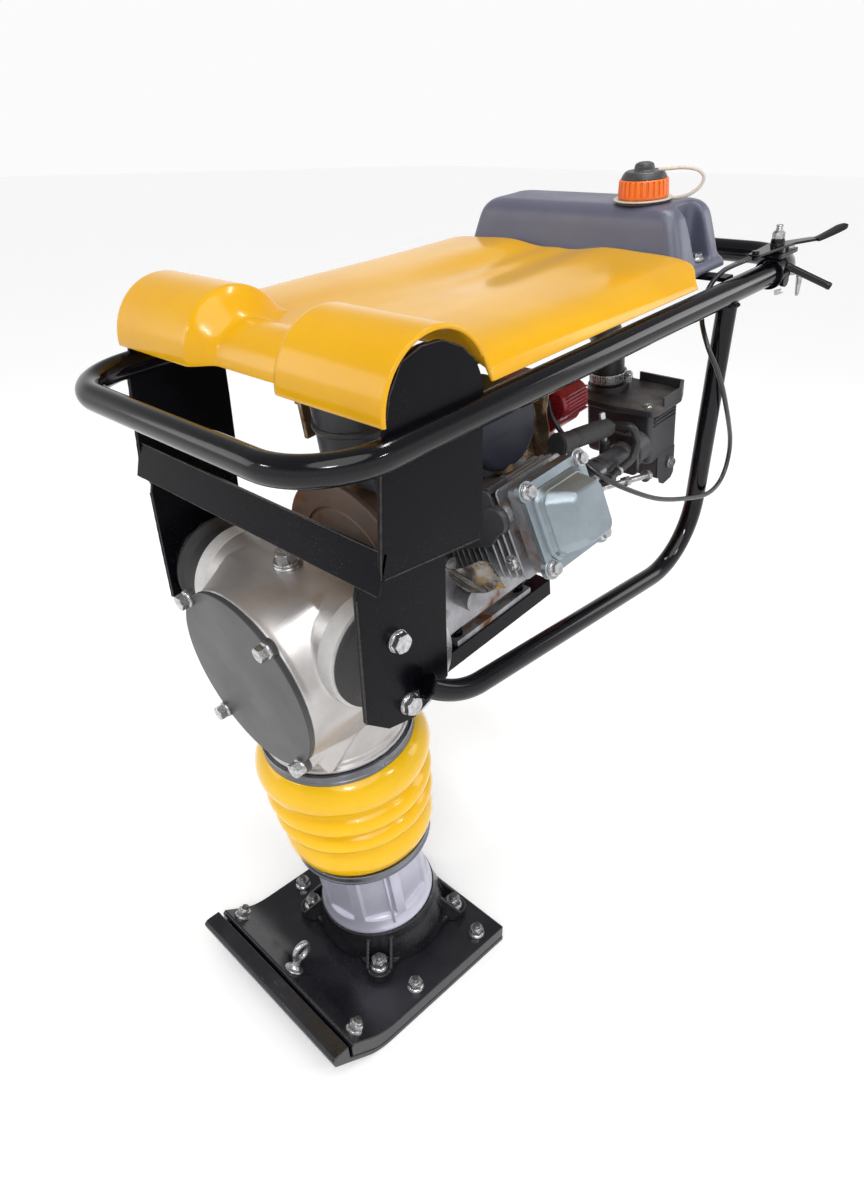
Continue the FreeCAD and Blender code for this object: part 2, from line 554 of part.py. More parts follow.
CARB_U, CARB_W = 163.7, 658.2
CHOKE_U, CHOKE_V = 152.0, 332.0
carb = fuse(box(142, 240.3, 640, 186, 246, 676), box(146, 246, 640, 182, 300, 674), cyl((CARB_U, 300, CARB_W), (0, 1, 0), 16, 52),
            box(140, 352, 634, 182, 358, 682), cyl((CARB_U, 358, CARB_W), (0, 1, 0), 20, 23.0), cyl((CARB_U, 273, 616), (0, 0, 1), 17, 25),
            cyl((CHOKE_U, CHOKE_V, 664), (0, 0, 1), 6, 16), box(181, 284, 657.6, 195, 293.8, 669))
stud = fuse(cyl((186.5, 262, 660), (0, 114, -32), 3.4, 116), cyl((186.5, 330, 640.9), (0, 114, -32), 5.5, 10))
node("carburetor", group(M(carb), M(stud)))
ab = fil(box(90, 381.2, 634, 180, 440, 698), 6.0, lambda e: e.BoundBox.ZLength > 60)
ab = ab.cut(box(93, 384.2, 637, 177, 437, 700))
ab = ab.cut(cyl((CARB_U, 375, CARB_W), (0, 1, 0), 15.5, 11))
ribs_ab = [box(179, 388, w, 181.8, 432, w + 1.6) for w in (680, 684.5, 689, 693.5)]
ab = fuse(ab, box(176.8, 399, 596, 180, 436, 640), box(150, 399, 610, 180, 402, 640), cyl((178, 424, 622), (1, 0, 0), 7.0, 4.0), hexa((182, 424, 622), (1, 0, 0), 10, 3.2), *ribs_ab)
node("air_box", M(ab))
HOSE_U, HOSE_V = 101.0, 412.0
lid = prism_z([(84, 378), (101, 369), (140, 367), (187, 374), (190, 382), (190, 428), (180, 449), (96, 449), (84, 440)], 698.3, 706)
lid = fuse(lid, cyl((HOSE_U, HOSE_V, 705), (0, 0, 1), 23.5, 7), ring((HOSE_U, HOSE_V, 711), (0, 0, 1), 17.0, 14.0, 14),
           box(122, 446, 705, 181, 449, 716), box(187.4, 392, 705, 190, 428, 716), prism_z([(190, 427), (180, 449), (177, 449), (187.4, 427)], 705, 716),
           cyl((174, 384, 705), (0, 0, 1), 5.0, 3.0))
lid = lid.cut(cyl((HOSE_U, HOSE_V, 690), (0, 0, 1), 14.0, 40))
node("air_box_lid", M(lid))
duct_w = route([(25, 146.4, 798), (25, 200, 798), (HOSE_U, HOSE_V, 798), (HOSE_U, HOSE_V, 712.3)], [70, 45])
node("intake_duct", M(tube(duct_w, 19.0).cut(cyl((HOSE_U, HOSE_V, 711), (0, 0, 1), 17.2, 15))))
node("hose_clamp", M(fuse(ring((HOSE_U, HOSE_V, 714.5), (0, 0, 1), 22.0, 19.1, 12), cyl((HOSE_U + 20, HOSE_V + 13, 720.5), (0.55, -0.83, 0), 4.6, 20).cut(cyl((HOSE_U, HOSE_V, 700), (0, 0, 1), 19.1, 40)))))
can = fuse(cyl((25, 95, 736), (0, 0, 1), 46, 78), cyl((25, 95, 772), (0, 0, 1), 49, 5), cyl((25, 138, 798), (0, 1, 0), 17.0, 8))
can = fuse(can, box(0, 80, 700.6, 50, 110, 737), box(-28, 60, 752, -22, 72, 792))
node("air_filter_canister", M(can))

bl = fuse(cyl((0, 264, SHAFT_W), (0, 1, 0), 108, 62), fil(box(20, 281, 640, 138, 326, 752), 18, lambda e: e.BoundBox.YLength > 50))
bli = fuse(cyl((0, 262, SHAFT_W), (0, 1, 0), 104, 61), fil(box(24, 274, 640, 134, 323, 748), 16, lambda e: e.BoundBox.YLength > 50))
bl = bl.cut(bli).cut(cyl((0, 300, SHAFT_W), (0, 1, 0), 82, 40))
bl = bl.cut(box(-120, 260, 480, 120, 330, 500)).cut(box(126, 260, 600, 175, 330, 716)).cut(box(82, 260, 600, 128, 268, 752))
node("blower_housing", M(bl))
rc = rev([(0, 362), (70, 362), (84, 356), (98, 330), (98, 326.3), (90, 326.3), (78, 352), (66, 357), (0, 357)], (0, 0, SHAFT_W), (0, 1, 0))
rc.translate(V(0, 0, 0))
for k in range(8):
    s = box(34, 350, SHAFT_W - 4, 62, 370, SHAFT_W + 4)
    s.rotate(V(0, 0, SHAFT_W), V(0, 1, 0), 45 * k + 22)
    rc = rc.cut(s)
rc = fuse(rc, cyl((-58, 350, SHAFT_W + 34), (0, 1, 0), 12, 14))
node("recoil_cover", M(rc))
node("recoil_handle", M(fuse(cyl((-58, 364.3, SHAFT_W + 34), (0, 1, 0), 6, 14), fil(box(-92, 376, SHAFT_W + 25, -24, 392, SHAFT_W + 43), 6.0))))
chk = prism_x([(CHOKE_V - 4, 694), (CHOKE_V + 4, 694), (CHOKE_V - 2, 716), (CHOKE_V - 10, 716)], CHOKE_U - 1.5, CHOKE_U + 1.5)
node("choke_lever", M(fuse(cyl((CHOKE_U, CHOKE_V, 680.3), (0, 0, 1), 3.0, 18), cyl((CHOKE_U, CHOKE_V, 688), (0, 0, 1), 6.5, 6.5), chk)))

# ---------------------------------------------------------------- frame: handle loop, plates, guard tubes
c = LOOP_BEND
x1, s1 = RAIL_X, LOOP_LEN


def arc_pt(cu, cs, a):
    return V(cu + c * math.cos(math.radians(a)), cs + c * math.sin(math.radians(a)), 0)


edges = []
corners = [(x1 - c, s1 - c, 0), (-x1 + c, s1 - c, 90), (-x1 + c, c, 180), (x1 - c, c, 270)]
start = V(x1, c, 0)
cur = start
for cu, cs, a0 in corners:
    p = arc_pt(cu, cs, a0)
    edges.append(Part.LineSegment(cur, p).toShape())
    edges.append(Part.Arc(p, arc_pt(cu, cs, a0 + 45), arc_pt(cu, cs, a0 + 90)).toShape())
    cur = arc_pt(cu, cs, a0 + 90)
loop_w = Part.Wire(edges)
circ = Part.Wire(Part.makeCircle(TUBE_R, start, V(0, 1, 0)))
half_a, half_b = Part.Wire(edges[:4]), Part.Wire(edges[4:])


def sweep(w, r):
    e = w.Edges[0]
    p, t = e.valueAt(e.FirstParameter), e.tangentAt(e.FirstParameter)
    s = w.makePipeShell([Part.Wire(Part.makeCircle(r, p, t))], True, False)
    if s.Volume < 0:
        s.reverse()
    return s


loop = fuse(sweep(half_a, TUBE_R), sweep(half_b, TUBE_R))
node("handle_loop", D(loop))
rail_cut = [D(cyl((sx * RAIL_X, 20, 0), (0, 1, 0), TUBE_R + 0.1, 700)) for sx in (-1, 1)]

outline = [(-170, 682), (-167, 600), (-165, 548), (-137, 528), (-104, 524), (-81, 534), (-57, 551), (-58, 574), (-60, 615), (-62, 690),
           (-42, 706), (-43, 760), (-46, 849), (-55, 866), (-73, 880.5), (-95, 888.5), (-117, 887.5), (-138, 879), (-151, 856), (-154, 840),
           (-161, 801), (-164, 706)]
xo, xi, hl = PLATE_UP_X, PLATE_LO_X, PLATE_T / 2
bent = prism_y([(xo + hl, 905), (xo + hl, 704), (xi + hl, 689), (xi + hl, 515), (xi - hl, 515), (xi - hl, 693.5), (xo - hl, 708.5), (xo - hl, 905)], -190, -30)
strap = prism_x([(-160.5, 730.0), (-169.5, 693.5), (-165.4, 692.5), (-156.4, 729.0)], -200.5, 200.5)
strap = fuse(strap)
plates = []
pbolts, pholes = [], []
for y, z in BRACKET_BOLTS:
    pholes.append(cyl((150, y, z), (1, 0, 0), 6.3, 40))
plate = bent.common(prism_x(outline, 100, 260))
for h in pholes:
    plate = plate.cut(h)
plate = plate.cut(rail_cut[1]).cut(strap)
plate = max(plate.Solids, key=lambda q: q.Volume)
node("side_plates", group(plate, mirror(plate)))
node("cross_strap", strap)
mb, mp = [], []
plate_disc = M(cyl((165.0, MOUNT_V, MOUNT_W), (1, 0, 0), 55.0, 4.4))
for h in pholes:
    plate_disc = plate_disc.cut(h)
for y, z in BRACKET_BOLTS:
    mb.append(bolt((PLATE_LO_X + hl, y, z), (1, 0, 0), 6.0, 9.4, 18, 8, 11.5, 2.2))
node("mount_plates", group(plate_disc, mirror(plate_disc)))
node("mount_bolts", group(*(mb + [mirror(b) for b in mb])))

g_w = route([(166, -133, 588), (199, -70, 544.5), (RAIL_X, 349.5, 555), (RAIL_X, 355.5, 890)], [90, 86])
g = tube(g_w, GUARD_R)
g = g.cut(box(100, -300, 400, PLATE_LO_X + hl, 0, 700))
g = g.cut(rail_cut[1])
g = g.common(box(0, -500, 0, 300, 500, 872))
big = max(g.Solids, key=lambda s: s.Volume)
for h in mb:
    big = big.cut(h)
for y, z in BRACKET_BOLTS:
    big = big.cut(cyl((PLATE_LO_X, y, z), (1, 0, 0), 11.7, 20))
big = max(big.Solids, key=lambda s: s.Volume)
# keep only what lies below the rail
below = box(100, -400, 400, 260, 500, 1000)
node("guard_tubes", group(big, mirror(big)))


# ---------------------------------------------------------------- hood
def hood_solid(off, ext):
    """Filled outer form of the hood, shrunk by off; ext lengthens its open ends."""
    parts = []
    for sx in (-1, 1):
        a, b = 70.0 + off, HOOD_X + ext
        x0 = a if sx > 0 else -b
        parts.append(cyl((x0, HUMP_S, HUMP_TC), (1, 0, 0), HUMP_R - off, b - a))
        w1 = Part.Wire(Part.makeCircle(HUMP_R - off, V(sx * (70.0 + off), HUMP_S, HUMP_TC), V(1, 0, 0)))
        w2 = Part.Wire(Part.makeCircle(SADDLE_R - off, V(sx * (46.0 + off), SADDLE_S, SADDLE_TC), V(1, 0, 0)))
        parts.append(Part.makeLoft([w1, w2], True, True))
    parts.append(cyl((-47.0 - off, SADDLE_S, SADDLE_TC), (1, 0, 0), SADDLE_R - off, 94.0 + 2 * off))
    pr = [(-HOOD_X + off, -60), (-HOOD_X + off, HOOD_EDGE), (-HOOD_X + 3 + off, 32 - off), (-188, 41 - off), (-160, 46 - off), (0, 42 - off), (160, 46 - off),
          (188, 41 - off), (HOOD_X - 3 - off, 32 - off), (HOOD_X - off, HOOD_EDGE), (HOOD_X - off, -60)]
    parts.append(prism_y(pr, 176 if off == 0 else 170, HOOD_END + ext))
    mid = [(-72, -60), (-72, 44.2 - off), (0, 42 - off), (72, 44.2 - off), (72, -60)]
    parts.append(prism_y(mid, 140, 178))
    return fuse(*parts)


ho = hood_solid(0, 0)
hi = hood_solid(HOOD_T, 30)
hood = ho.cut(hi).cut(box(-300, 0, -100, 300, 700, HOOD_EDGE + 1.5))
hood = hood.common(prism_z([(-HOOD_X, 0), (HOOD_X, 0), (HOOD_X, 515), (HOOD_X - 26, HOOD_END), (-HOOD_X + 26, HOOD_END), (-HOOD_X, 515)], -50, 150))
hs = sorted(hood.Solids, key=lambda s: -s.Volume)
print("hood solids", len(hs), [round(s.Volume) for s in hs[:4]])
node("hood", D(hs[0]))


# ---------------------------------------------------------------- fuel tank
def tank_form(off, z0, z1):
    def at(z):
        f = (z - TANK_BOT[3]) / (TANK_TOP[3] - TANK_BOT[3])
        return [TANK_BOT[i] + (TANK_TOP[i] - TANK_BOT[i]) * f for i in range(3)]
    w = []
    for z in (z0, z1):
        u, a, b = at(z)
        u, a, b = u - off, a + off, b - off
        r = 14
        pts = [(-u + r, a), (u - r, a), (u, a + r), (u, b - r), (u - r, b), (-u + r, b), (-u, b - r), (-u, a + r)]
        w.append(Part.makePolygon([V(x, y, z) for x, y in pts + pts[:1]]))
    return Part.makeLoft(w, True, True)


tank = tank_form(0, 24, 77)
cap_top = fuse(tank, tank_form(0, 76.9, 77), *[])
top = tank_form(3.5, 77, 81)
top2 = tank_form(9, 81, TANK_TOP[3])
tank = fuse(tank, top, top2)
flange = tank_form(-4, 12, 24)
tank = fuse(tank, flange)
void = tank_form(4.0, 16, 74)
for sx in (-1, 1):
    pk = box(126, 590, 24, 175, 622, 120)
    pk = fil(pk, 9.0, lambda e: e.BoundBox.ZLength > 50)
    pw = box(122, 586, 10, 175, 626, 120)
    if sx < 0:
        pk, pw = mirror(pk), mirror(pw)
    tank = tank.cut(pk)
    void = void.cut(pw)
neck = ring((CAP_U, CAP_S, 84), (0, 0, 1), 17.0, 13.0, 10)
void = fuse(void, cyl((CAP_U, CAP_S, 70), (0, 0, 1), 13.0, 60))
tank = fuse(tank, cyl((CAP_U, CAP_S, 84), (0, 0, 1), 24.0, 3.5), neck)
tank = tank.cut(void)
for sx in (-1, 1):
    tank = tank.cut(cyl((sx * 148, 606, 0), (0, 0, 1), 4.3, 60))
node("fuel_tank", D(max(tank.Solids, key=lambda s: s.Volume)))
ts = []
for sx in (-1, 1):
    a = box(130, 596, 6.5, 196.5, 616, 11.7)
    a = a.cut(cyl((148, 606, 0), (0, 0, 1), 4.3, 60))
    b = bolt((148, 606, 24.2), (0, 0, 1), 4.0, 20, 13, 6, 9.5, 2.0)
    if sx < 0:
        a, b = mirror(a), mirror(b)
    a = D(a).cut(rail_cut[0] if sx < 0 else rail_cut[1])
    ts += [a, D(b)]
node("tank_straps", group(*ts))
cap = fuse(ring((CAP_U, CAP_S, 90), (0, 0, 1), 28.0, 17.4, 19), cyl((CAP_U, CAP_S, 95), (0, 0, 1), 28.0, 14),
           cone((CAP_U, CAP_S, 109), (0, 0, 1), 25.0, 22.0, 8), cone((CAP_U, CAP_S, 117), (0, 0, 1), 11.0, 9.5, 9))
node("fuel_cap", D(cap))

# ---------------------------------------------------------------- throttle control on the right-hand rail
tc = fuse(ring((RAIL_X, 675, 0), (0, 1, 0), TUBE_R + 4.5, TUBE_R + 0.1, 21), box(RAIL_X - 13, 674, 15, RAIL_X + 13, 722, 22),
          cyl((RAIL_X + 14, 689, 8), (0.84, 0.35, -0.42), 4.5, 56))
tc = tc.cut(cyl((RAIL_X, 600, 0), (0, 1, 0), TUBE_R + 0.1, 98)).cut(loop)
tc = tc.cut(cyl((RAIL_X + 6, 711, 10), (0, 0, 1), 3.1, 20))
tc = tc.cut(cyl((RAIL_X, 690, 10), (0, 0, 1), 4.2, 20))
node("throttle_clamp", D(tc))
pv = fuse(cyl((RAIL_X, 690, 15), (0, 0, 1), 4.0, 36), hexa((RAIL_X, 690, 36.5), (0, 0, 1), 12, 6.5))
node("lever_pivot", group(D(pv), D(bolt((RAIL_X + 6, 711, 22.0), (0, 0, 1), 3.0, 5.0, 9, 4.4)),
                          D(cone((RAIL_X + 22, 711, -30), (0, 0, 1), 2.0, 4.0, 26))))
blade = poly([(RAIL_X - 7, 632, 27), (RAIL_X + 7, 632, 27), (RAIL_X + 11, 682, 27), (RAIL_X + 14, 706, 27), (RAIL_X + 30, 738, 27), (RAIL_X + 18, 742, 27),
              (RAIL_X, 712, 27), (RAIL_X - 11, 694, 27)]).extrude(V(0, 0, 3.0))
tip = prism_x([(736, 27), (775, 37), (774.4, 40), (736, 30)], -8, 8)
tip.translate(V(RAIL_X + 26, 0, 0))
tip.rotate(V(RAIL_X + 26, 738, 27), V(0, 0, 1), -24)
lever = fuse(blade, tip, cyl((RAIL_X, 690, 22.4), (0, 0, 1), 8.0, 13.8), cyl((RAIL_X, 638, 23), (0, 0, 1), 4.0, 10))
lever = lever.cut(cyl((RAIL_X, 690, 10), (0, 0, 1), 4.1, 40))
node("throttle_lever", D(lever))

# ---------------------------------------------------------------- throttle cable: free loop from the lever to the engine
CABLE = [
    (203.0, 391.4, 906.0), (196.0, 375.8, 901.6), (187.0, 360.5, 894.3), (180.0, 350.0, 878.0), (180.0, 343.0, 860.0), (187.0, 332.0, 845.0),
    (198.0, 322.0, 833.0), (209.0, 318.0, 817.0), (217.5, 325.0, 799.0), (221.5, 339.0, 775.0), (221.5, 357.0, 748.0), (219.5, 375.0, 724.5),
    (216.5, 391.5, 704.0), (215.0, 399.5, 682.0), (217.0, 391.5, 660.5), (220.5, 370.5, 648.5), (222.5, 340.0, 645.0), (220.5, 305.0, 651.0),
    (218.0, 269.0, 658.5), (215.5, 233.0, 669.0), (212.0, 197.0, 685.0), (201.5, 164.5, 702.0),
    (184.5, 148.0, 717.0), (161.5, 149.5, 729.0), (142.0, 155.0, 741.0), (128.5, 153.5, 754.0), (122.5, 149.5, 767.5), (122.0, 146.6, 779.6),
]
cw = route(CABLE, None, 0.45, "throttle_cable")
cable = tube(cw, CABLE_D / 2)
print("throttle_cable length", round(cw.Length, 1), "volume", round(cable.Volume, 1), "expected", round(math.pi * (CABLE_D / 2) ** 2 * cw.Length, 1))
node("throttle_cable", cable)

for name, shape in NODES.items():
    n = len(shape.Solids)
    ok = all(s.isValid() for s in shape.Solids)
    if not ok or n == 0:
        print("CHECK", name, n, ok)
    shape.exportStep(os.path.join(OUT, name + ".step"))
print(len(NODES), "nodes")
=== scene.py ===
import bpy
import bmesh
import math
import numpy as np
from mathutils import Matrix, Vector, noise


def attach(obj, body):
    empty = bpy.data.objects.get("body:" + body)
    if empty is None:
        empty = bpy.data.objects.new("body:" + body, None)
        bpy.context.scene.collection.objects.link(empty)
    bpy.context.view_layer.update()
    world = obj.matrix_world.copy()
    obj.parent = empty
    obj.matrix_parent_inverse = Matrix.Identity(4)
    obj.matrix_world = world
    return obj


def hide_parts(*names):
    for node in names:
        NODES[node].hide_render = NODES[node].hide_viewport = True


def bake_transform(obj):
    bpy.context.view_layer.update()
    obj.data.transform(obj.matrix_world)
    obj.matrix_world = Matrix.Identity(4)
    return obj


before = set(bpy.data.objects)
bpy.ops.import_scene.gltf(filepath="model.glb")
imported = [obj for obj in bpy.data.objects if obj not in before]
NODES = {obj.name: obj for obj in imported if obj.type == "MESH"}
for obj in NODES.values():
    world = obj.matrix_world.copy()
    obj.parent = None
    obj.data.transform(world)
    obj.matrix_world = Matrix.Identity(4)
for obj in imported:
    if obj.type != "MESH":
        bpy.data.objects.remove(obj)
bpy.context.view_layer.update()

MM = 0.001
R = math.radians
S3 = Matrix.Scale(MM, 4)
W = S3
M = S3 @ Matrix.Rotation(R(9.41), 4, 'X')
D = S3 @ Matrix.Translation((0, -226.9, 804.5)) @ Matrix.Rotation(R(6.856), 4, 'X')
K = M @ Matrix.Translation((0, 0, 605.0)) @ Matrix.Rotation(R(-20.0), 4, 'Y')
MIR = Matrix.Diagonal((-1, 1, 1, 1))
COL = bpy.context.scene.collection

# ------------------------------------------------------------------ camera
cam_data = bpy.data.cameras.new("camera")
cam = bpy.data.objects.new("camera", cam_data)
COL.objects.link(cam)
cam.location = (0.6537, -0.5595, 1.0216)
cam.rotation_euler = (R(90 - 28.42), 0, R(44.97))
cam_data.sensor_fit = 'AUTO'
cam_data.sensor_width = 36.0
cam_data.lens = 25.37
cam_data.clip_start = 0.02
cam_data.clip_end = 60
bpy.context.scene.camera = cam


# ------------------------------------------------------------------ materials
def mat(name, c1, c2=None, rough=0.4, rvar=0.1, metal=0.0, coat=0.0, coat_rough=0.08, spec=0.5, nscale=30.0, fine=900.0, fbump=0.0,
        cscale=60.0, cbump=0.0, specks=0.0, speck_col=(0.5, 0.5, 0.5), speck_scale=700.0, scratch=0.0, scratch_col=(0.5, 0.5, 0.5),
        sss=0.0, sss_col=None, dust=0.0, dust_col=(0.45, 0.42, 0.38), wear=0.0, wear_col=(0.45, 0.44, 0.43), aniso=0.0, stretch=(1, 1, 1), layers=0.0,
        rust=0.0, rust_scale=22.0, ior=1.5, dist=0.0006):
    m = bpy.data.materials.new(name)
    m.use_nodes = True
    nt = m.node_tree
    for n in list(nt.nodes):
        nt.nodes.remove(n)
    L = nt.links.new
    out = nt.nodes.new("ShaderNodeOutputMaterial")
    b = nt.nodes.new("ShaderNodeBsdfPrincipled")
    L(b.outputs[0], out.inputs[0])
    tc = nt.nodes.new("ShaderNodeTexCoord")
    mp = nt.nodes.new("ShaderNodeMapping")
    mp.inputs["Scale"].default_value = stretch
    L(tc.outputs["Object"], mp.inputs[0])

    def tex(scale, detail=4.0, rough_=0.55, vec=None, dist_=0.0):
        t = nt.nodes.new("ShaderNodeTexNoise")
        t.inputs["Scale"].default_value = scale
        t.inputs["Detail"].default_value = detail
        t.inputs["Roughness"].default_value = rough_
        t.inputs["Distortion"].default_value = dist_
        L((vec or mp.outputs[0]), t.inputs["Vector"])
        return t.outputs["Fac"]

    def ramp(src, lo, hi, a=0.0, b_=1.0):
        r = nt.nodes.new("ShaderNodeMapRange")
        r.inputs["From Min"].default_value = lo
        r.inputs["From Max"].default_value = hi
        r.inputs["To Min"].default_value = a
        r.inputs["To Max"].default_value = b_
        r.clamp = True
        L(src, r.inputs[0])
        return r.outputs[0]

    def mix(fac, a, b_):
        x = nt.nodes.new("ShaderNodeMix")
        x.data_type = 'RGBA'
        if hasattr(fac, "links"):
            L(fac, x.inputs[0])
        else:
            x.inputs[0].default_value = fac
        for k, v in ((6, a), (7, b_)):
            if hasattr(v, "links"):
                L(v, x.inputs[k])
            else:
                x.inputs[k].default_value = (*v, 1)
        return x.outputs[2]

    def math_(op, a, b_):
        x = nt.nodes.new("ShaderNodeMath")
        x.operation = op
        for k, v in ((0, a), (1, b_)):
            if hasattr(v, "links"):
                L(v, x.inputs[k])
            else:
                x.inputs[k].default_value = v
        return x.outputs[0]

    c2 = c2 or tuple(0.8 * k for k in c1)
    big = tex(nscale, 5.0, 0.6)
    col = mix(ramp(big, 0.35, 0.68), c1, c2)
    rr = ramp(big, 0.3, 0.7, max(0.02, rough - rvar), min(1.0, rough + rvar))
    met = None
    if rust:
        rn = ramp(tex(rust_scale, 8.0, 0.68, dist_=0.6), 0.56 - 0.2 * rust, 0.66)
        col = mix(rn, col, mix(ramp(tex(rust_scale * 6, 5), 0.3, 0.7), (0.26, 0.12, 0.05), (0.10, 0.05, 0.03)))
        rr = math_('MAXIMUM', rr, math_('MULTIPLY', rn, 0.75))
    if specks:
        v = tex(speck_scale, 2.0, 0.5)
        big2 = ramp(tex(nscale * 0.6, 3.0, 0.6), 0.42, 0.66)
        sp = math_('MULTIPLY', ramp(v, 0.74 - 0.06 * specks, 0.77 - 0.06 * specks), big2)
        col = mix(sp, col, speck_col)
        rr = math_('MAXIMUM', rr, math_('MULTIPLY', sp, 0.8))
    if scratch:
        m2 = nt.nodes.new("ShaderNodeMapping")
        m2.inputs["Scale"].default_value = (1.0, 14.0, 14.0)
        m2.inputs["Rotation"].default_value = (0.3, 0.2, 0.6)
        L(tc.outputs["Object"], m2.inputs[0])
        s = tex(38.0, 7.0, 0.72, m2.outputs[0])
        sc = math_('MULTIPLY', ramp(s, 0.66 - 0.06 * scratch, 0.76 - 0.06 * scratch), ramp(tex(16.0, 2.0, 0.5), 0.45, 0.62, 0.0, min(1.0, scratch)))
        col = mix(sc, col, scratch_col)
        rr = math_('MAXIMUM', rr, math_('MULTIPLY', sc, 0.55))
    if wear:
        g = nt.nodes.new("ShaderNodeNewGeometry")
        e = ramp(g.outputs["Pointiness"], 0.53, 0.60)
        e = math_('MULTIPLY', e, ramp(tex(160.0, 5.0, 0.7), 0.62 - 0.25 * wear, 0.72))
        col = mix(e, col, wear_col)
    if dust:
        g2 = nt.nodes.new("ShaderNodeNewGeometry")
        sx = nt.nodes.new("ShaderNodeSeparateXYZ")
        L(g2.outputs["Normal"], sx.inputs[0])
        up = ramp(sx.outputs[2], 0.35, 0.95)
        du = math_('MULTIPLY', up, ramp(tex(24.0, 6.0, 0.65), 0.42, 0.72, 0.0, dust))
        col = mix(du, col, dust_col)
        rr = math_('MAXIMUM', rr, math_('MULTIPLY', du, 0.9))
    L(col, b.inputs["Base Color"])
    L(rr, b.inputs["Roughness"])
    b.inputs["Metallic"].default_value = metal
    b.inputs["IOR"].default_value = ior
    b.inputs["Specular IOR Level"].default_value = spec
    b.inputs["Coat Weight"].default_value = coat
    b.inputs["Coat Roughness"].default_value = coat_rough
    b.inputs["Anisotropic"].default_value = aniso
    if sss:
        b.inputs["Subsurface Weight"].default_value = sss
        b.inputs["Subsurface Radius"].default_value = (0.004, 0.002, 0.001)
        b.inputs["Subsurface Scale"].default_value = 1.0
    h = None
    if cbump:
        h = math_('MULTIPLY', tex(cscale, 5.0, 0.6), cbump)
    if fbump:
        f = math_('MULTIPLY', tex(fine, 3.0, 0.6), fbump)
        h = f if h is None else math_('ADD', h, f)
    if layers:
        wv = nt.nodes.new("ShaderNodeTexWave")
        wv.wave_type = 'BANDS'
        wv.bands_direction = 'Z'
        wv.inputs["Scale"].default_value = 110.0
        wv.inputs["Distortion"].default_value = 1.2
        wv.inputs["Detail"].default_value = 2.0
        L(tc.outputs["Object"], wv.inputs["Vector"])
        f = math_('MULTIPLY', wv.outputs["Fac"], layers)
        h = f if h is None else math_('ADD', h, f)
    if h is not None:
        bp = nt.nodes.new("ShaderNodeBump")
        bp.inputs["Strength"].default_value = 1.0
        bp.inputs["Distance"].default_value = dist
        L(h, bp.inputs["Height"])
        L(bp.outputs[0], b.inputs["Normal"])
    return m


mt = {}
mt["black_paint"] = mat("black_painted_steel", (0.0018, 0.0018, 0.0030), (0.0030, 0.0030, 0.0052), rough=0.11, rvar=0.03, spec=0.34, fbump=0.05, fine=420,
                        specks=0.4, speck_col=(0.28, 0.28, 0.29), speck_scale=1560, scratch=0.12, scratch_col=(0.07, 0.07, 0.08), nscale=9)
mt["black_plate"] = mat("black_plate_paint", (0.0018, 0.0018, 0.0030), (0.0032, 0.0032, 0.0055), rough=0.30, rvar=0.06, spec=0.10, fbump=0.10, fine=500,
                        specks=0.4, speck_col=(0.35, 0.35, 0.37), speck_scale=1290, scratch=0.1, scratch_col=(0.05, 0.05, 0.06), nscale=8)
mt["band"] = mat("band_steel", (0.20, 0.21, 0.24), (0.12, 0.125, 0.145), rough=0.28, rvar=0.1, metal=0.92, fbump=0.3, fine=500, nscale=16, scratch=0.4, scratch_col=(0.5, 0.5, 0.52), dist=0.0004)
# edge strip colour: brown-grey, partly bare rusty cut steel and partly a painted highlight for light catching the black
# plate edges and bends
mt["edge"] = mat("edge_rust_and_painted_highlight", (0.055, 0.042, 0.038), (0.010, 0.010, 0.012), rough=0.4, rvar=0.1, metal=0.4, spec=0.4, nscale=420, fbump=0.8, fine=900, dist=0.0004)
mt["hood"] = mat("yellow_hood", (0.70, 0.365, 0.004), (0.63, 0.315, 0.003), rough=0.20, rvar=0.05, spec=0.30, coat=0.10, coat_rough=0.05, nscale=7, fbump=0.05, fine=260, cbump=0.6, cscale=9,
                 specks=0.25, speck_col=(0.20, 0.10, 0.02), speck_scale=900)
mt["bellows"] = mat("yellow_bellows", (0.80, 0.475, 0.0005), (0.74, 0.42, 0.0005), rough=0.20, rvar=0.04, spec=0.22, coat=0.45, coat_rough=0.02, nscale=9, fbump=0.05, fine=300, cbump=0.35, cscale=22, dist=0.0005)
mt["cast"] = mat("cast_aluminium", (0.52, 0.50, 0.495), (0.41, 0.39, 0.38), rough=0.36, rvar=0.08, metal=0.66, fbump=0.40, fine=1100, cbump=0.22, cscale=90, nscale=16,
                 scratch=0.12, scratch_col=(0.74, 0.74, 0.78), dist=0.0004)
mt["cast_grain"] = mat("cast_boss_face", (0.60, 0.59, 0.58), (0.50, 0.49, 0.48), rough=0.5, rvar=0.08, metal=0.45, fbump=1.2, fine=800, nscale=30, dist=0.0006)
mt["leg"] = mat("leg_casting", (0.52, 0.52, 0.62), (0.44, 0.44, 0.53), rough=0.34, rvar=0.07, metal=0.5, fbump=0.35, fine=900, nscale=18, cbump=0.2, cscale=60, dist=0.0004)
mt["cover"] = mat("cover_grey", (0.064, 0.064, 0.067), (0.054, 0.054, 0.057), rough=0.40, rvar=0.05, metal=0.2, spec=0.3, fbump=0.2, fine=700, nscale=12, scratch=0.06, scratch_col=(0.12, 0.12, 0.12), dist=0.0003)
mt["zinc"] = mat("zinc_steel", (0.56, 0.56, 0.57), (0.30, 0.30, 0.31), rough=0.27, rvar=0.1, metal=0.92, fbump=0.6, fine=500, nscale=180, scratch=0.3, scratch_col=(0.14, 0.13, 0.12), dist=0.0005)
mt["bare"] = mat("bare_steel", (0.56, 0.56, 0.58), (0.42, 0.42, 0.44), rough=0.26, rvar=0.08, metal=0.95, fbump=0.2, fine=600, nscale=40, scratch=0.4, scratch_col=(0.25, 0.24, 0.23), dist=0.0003)
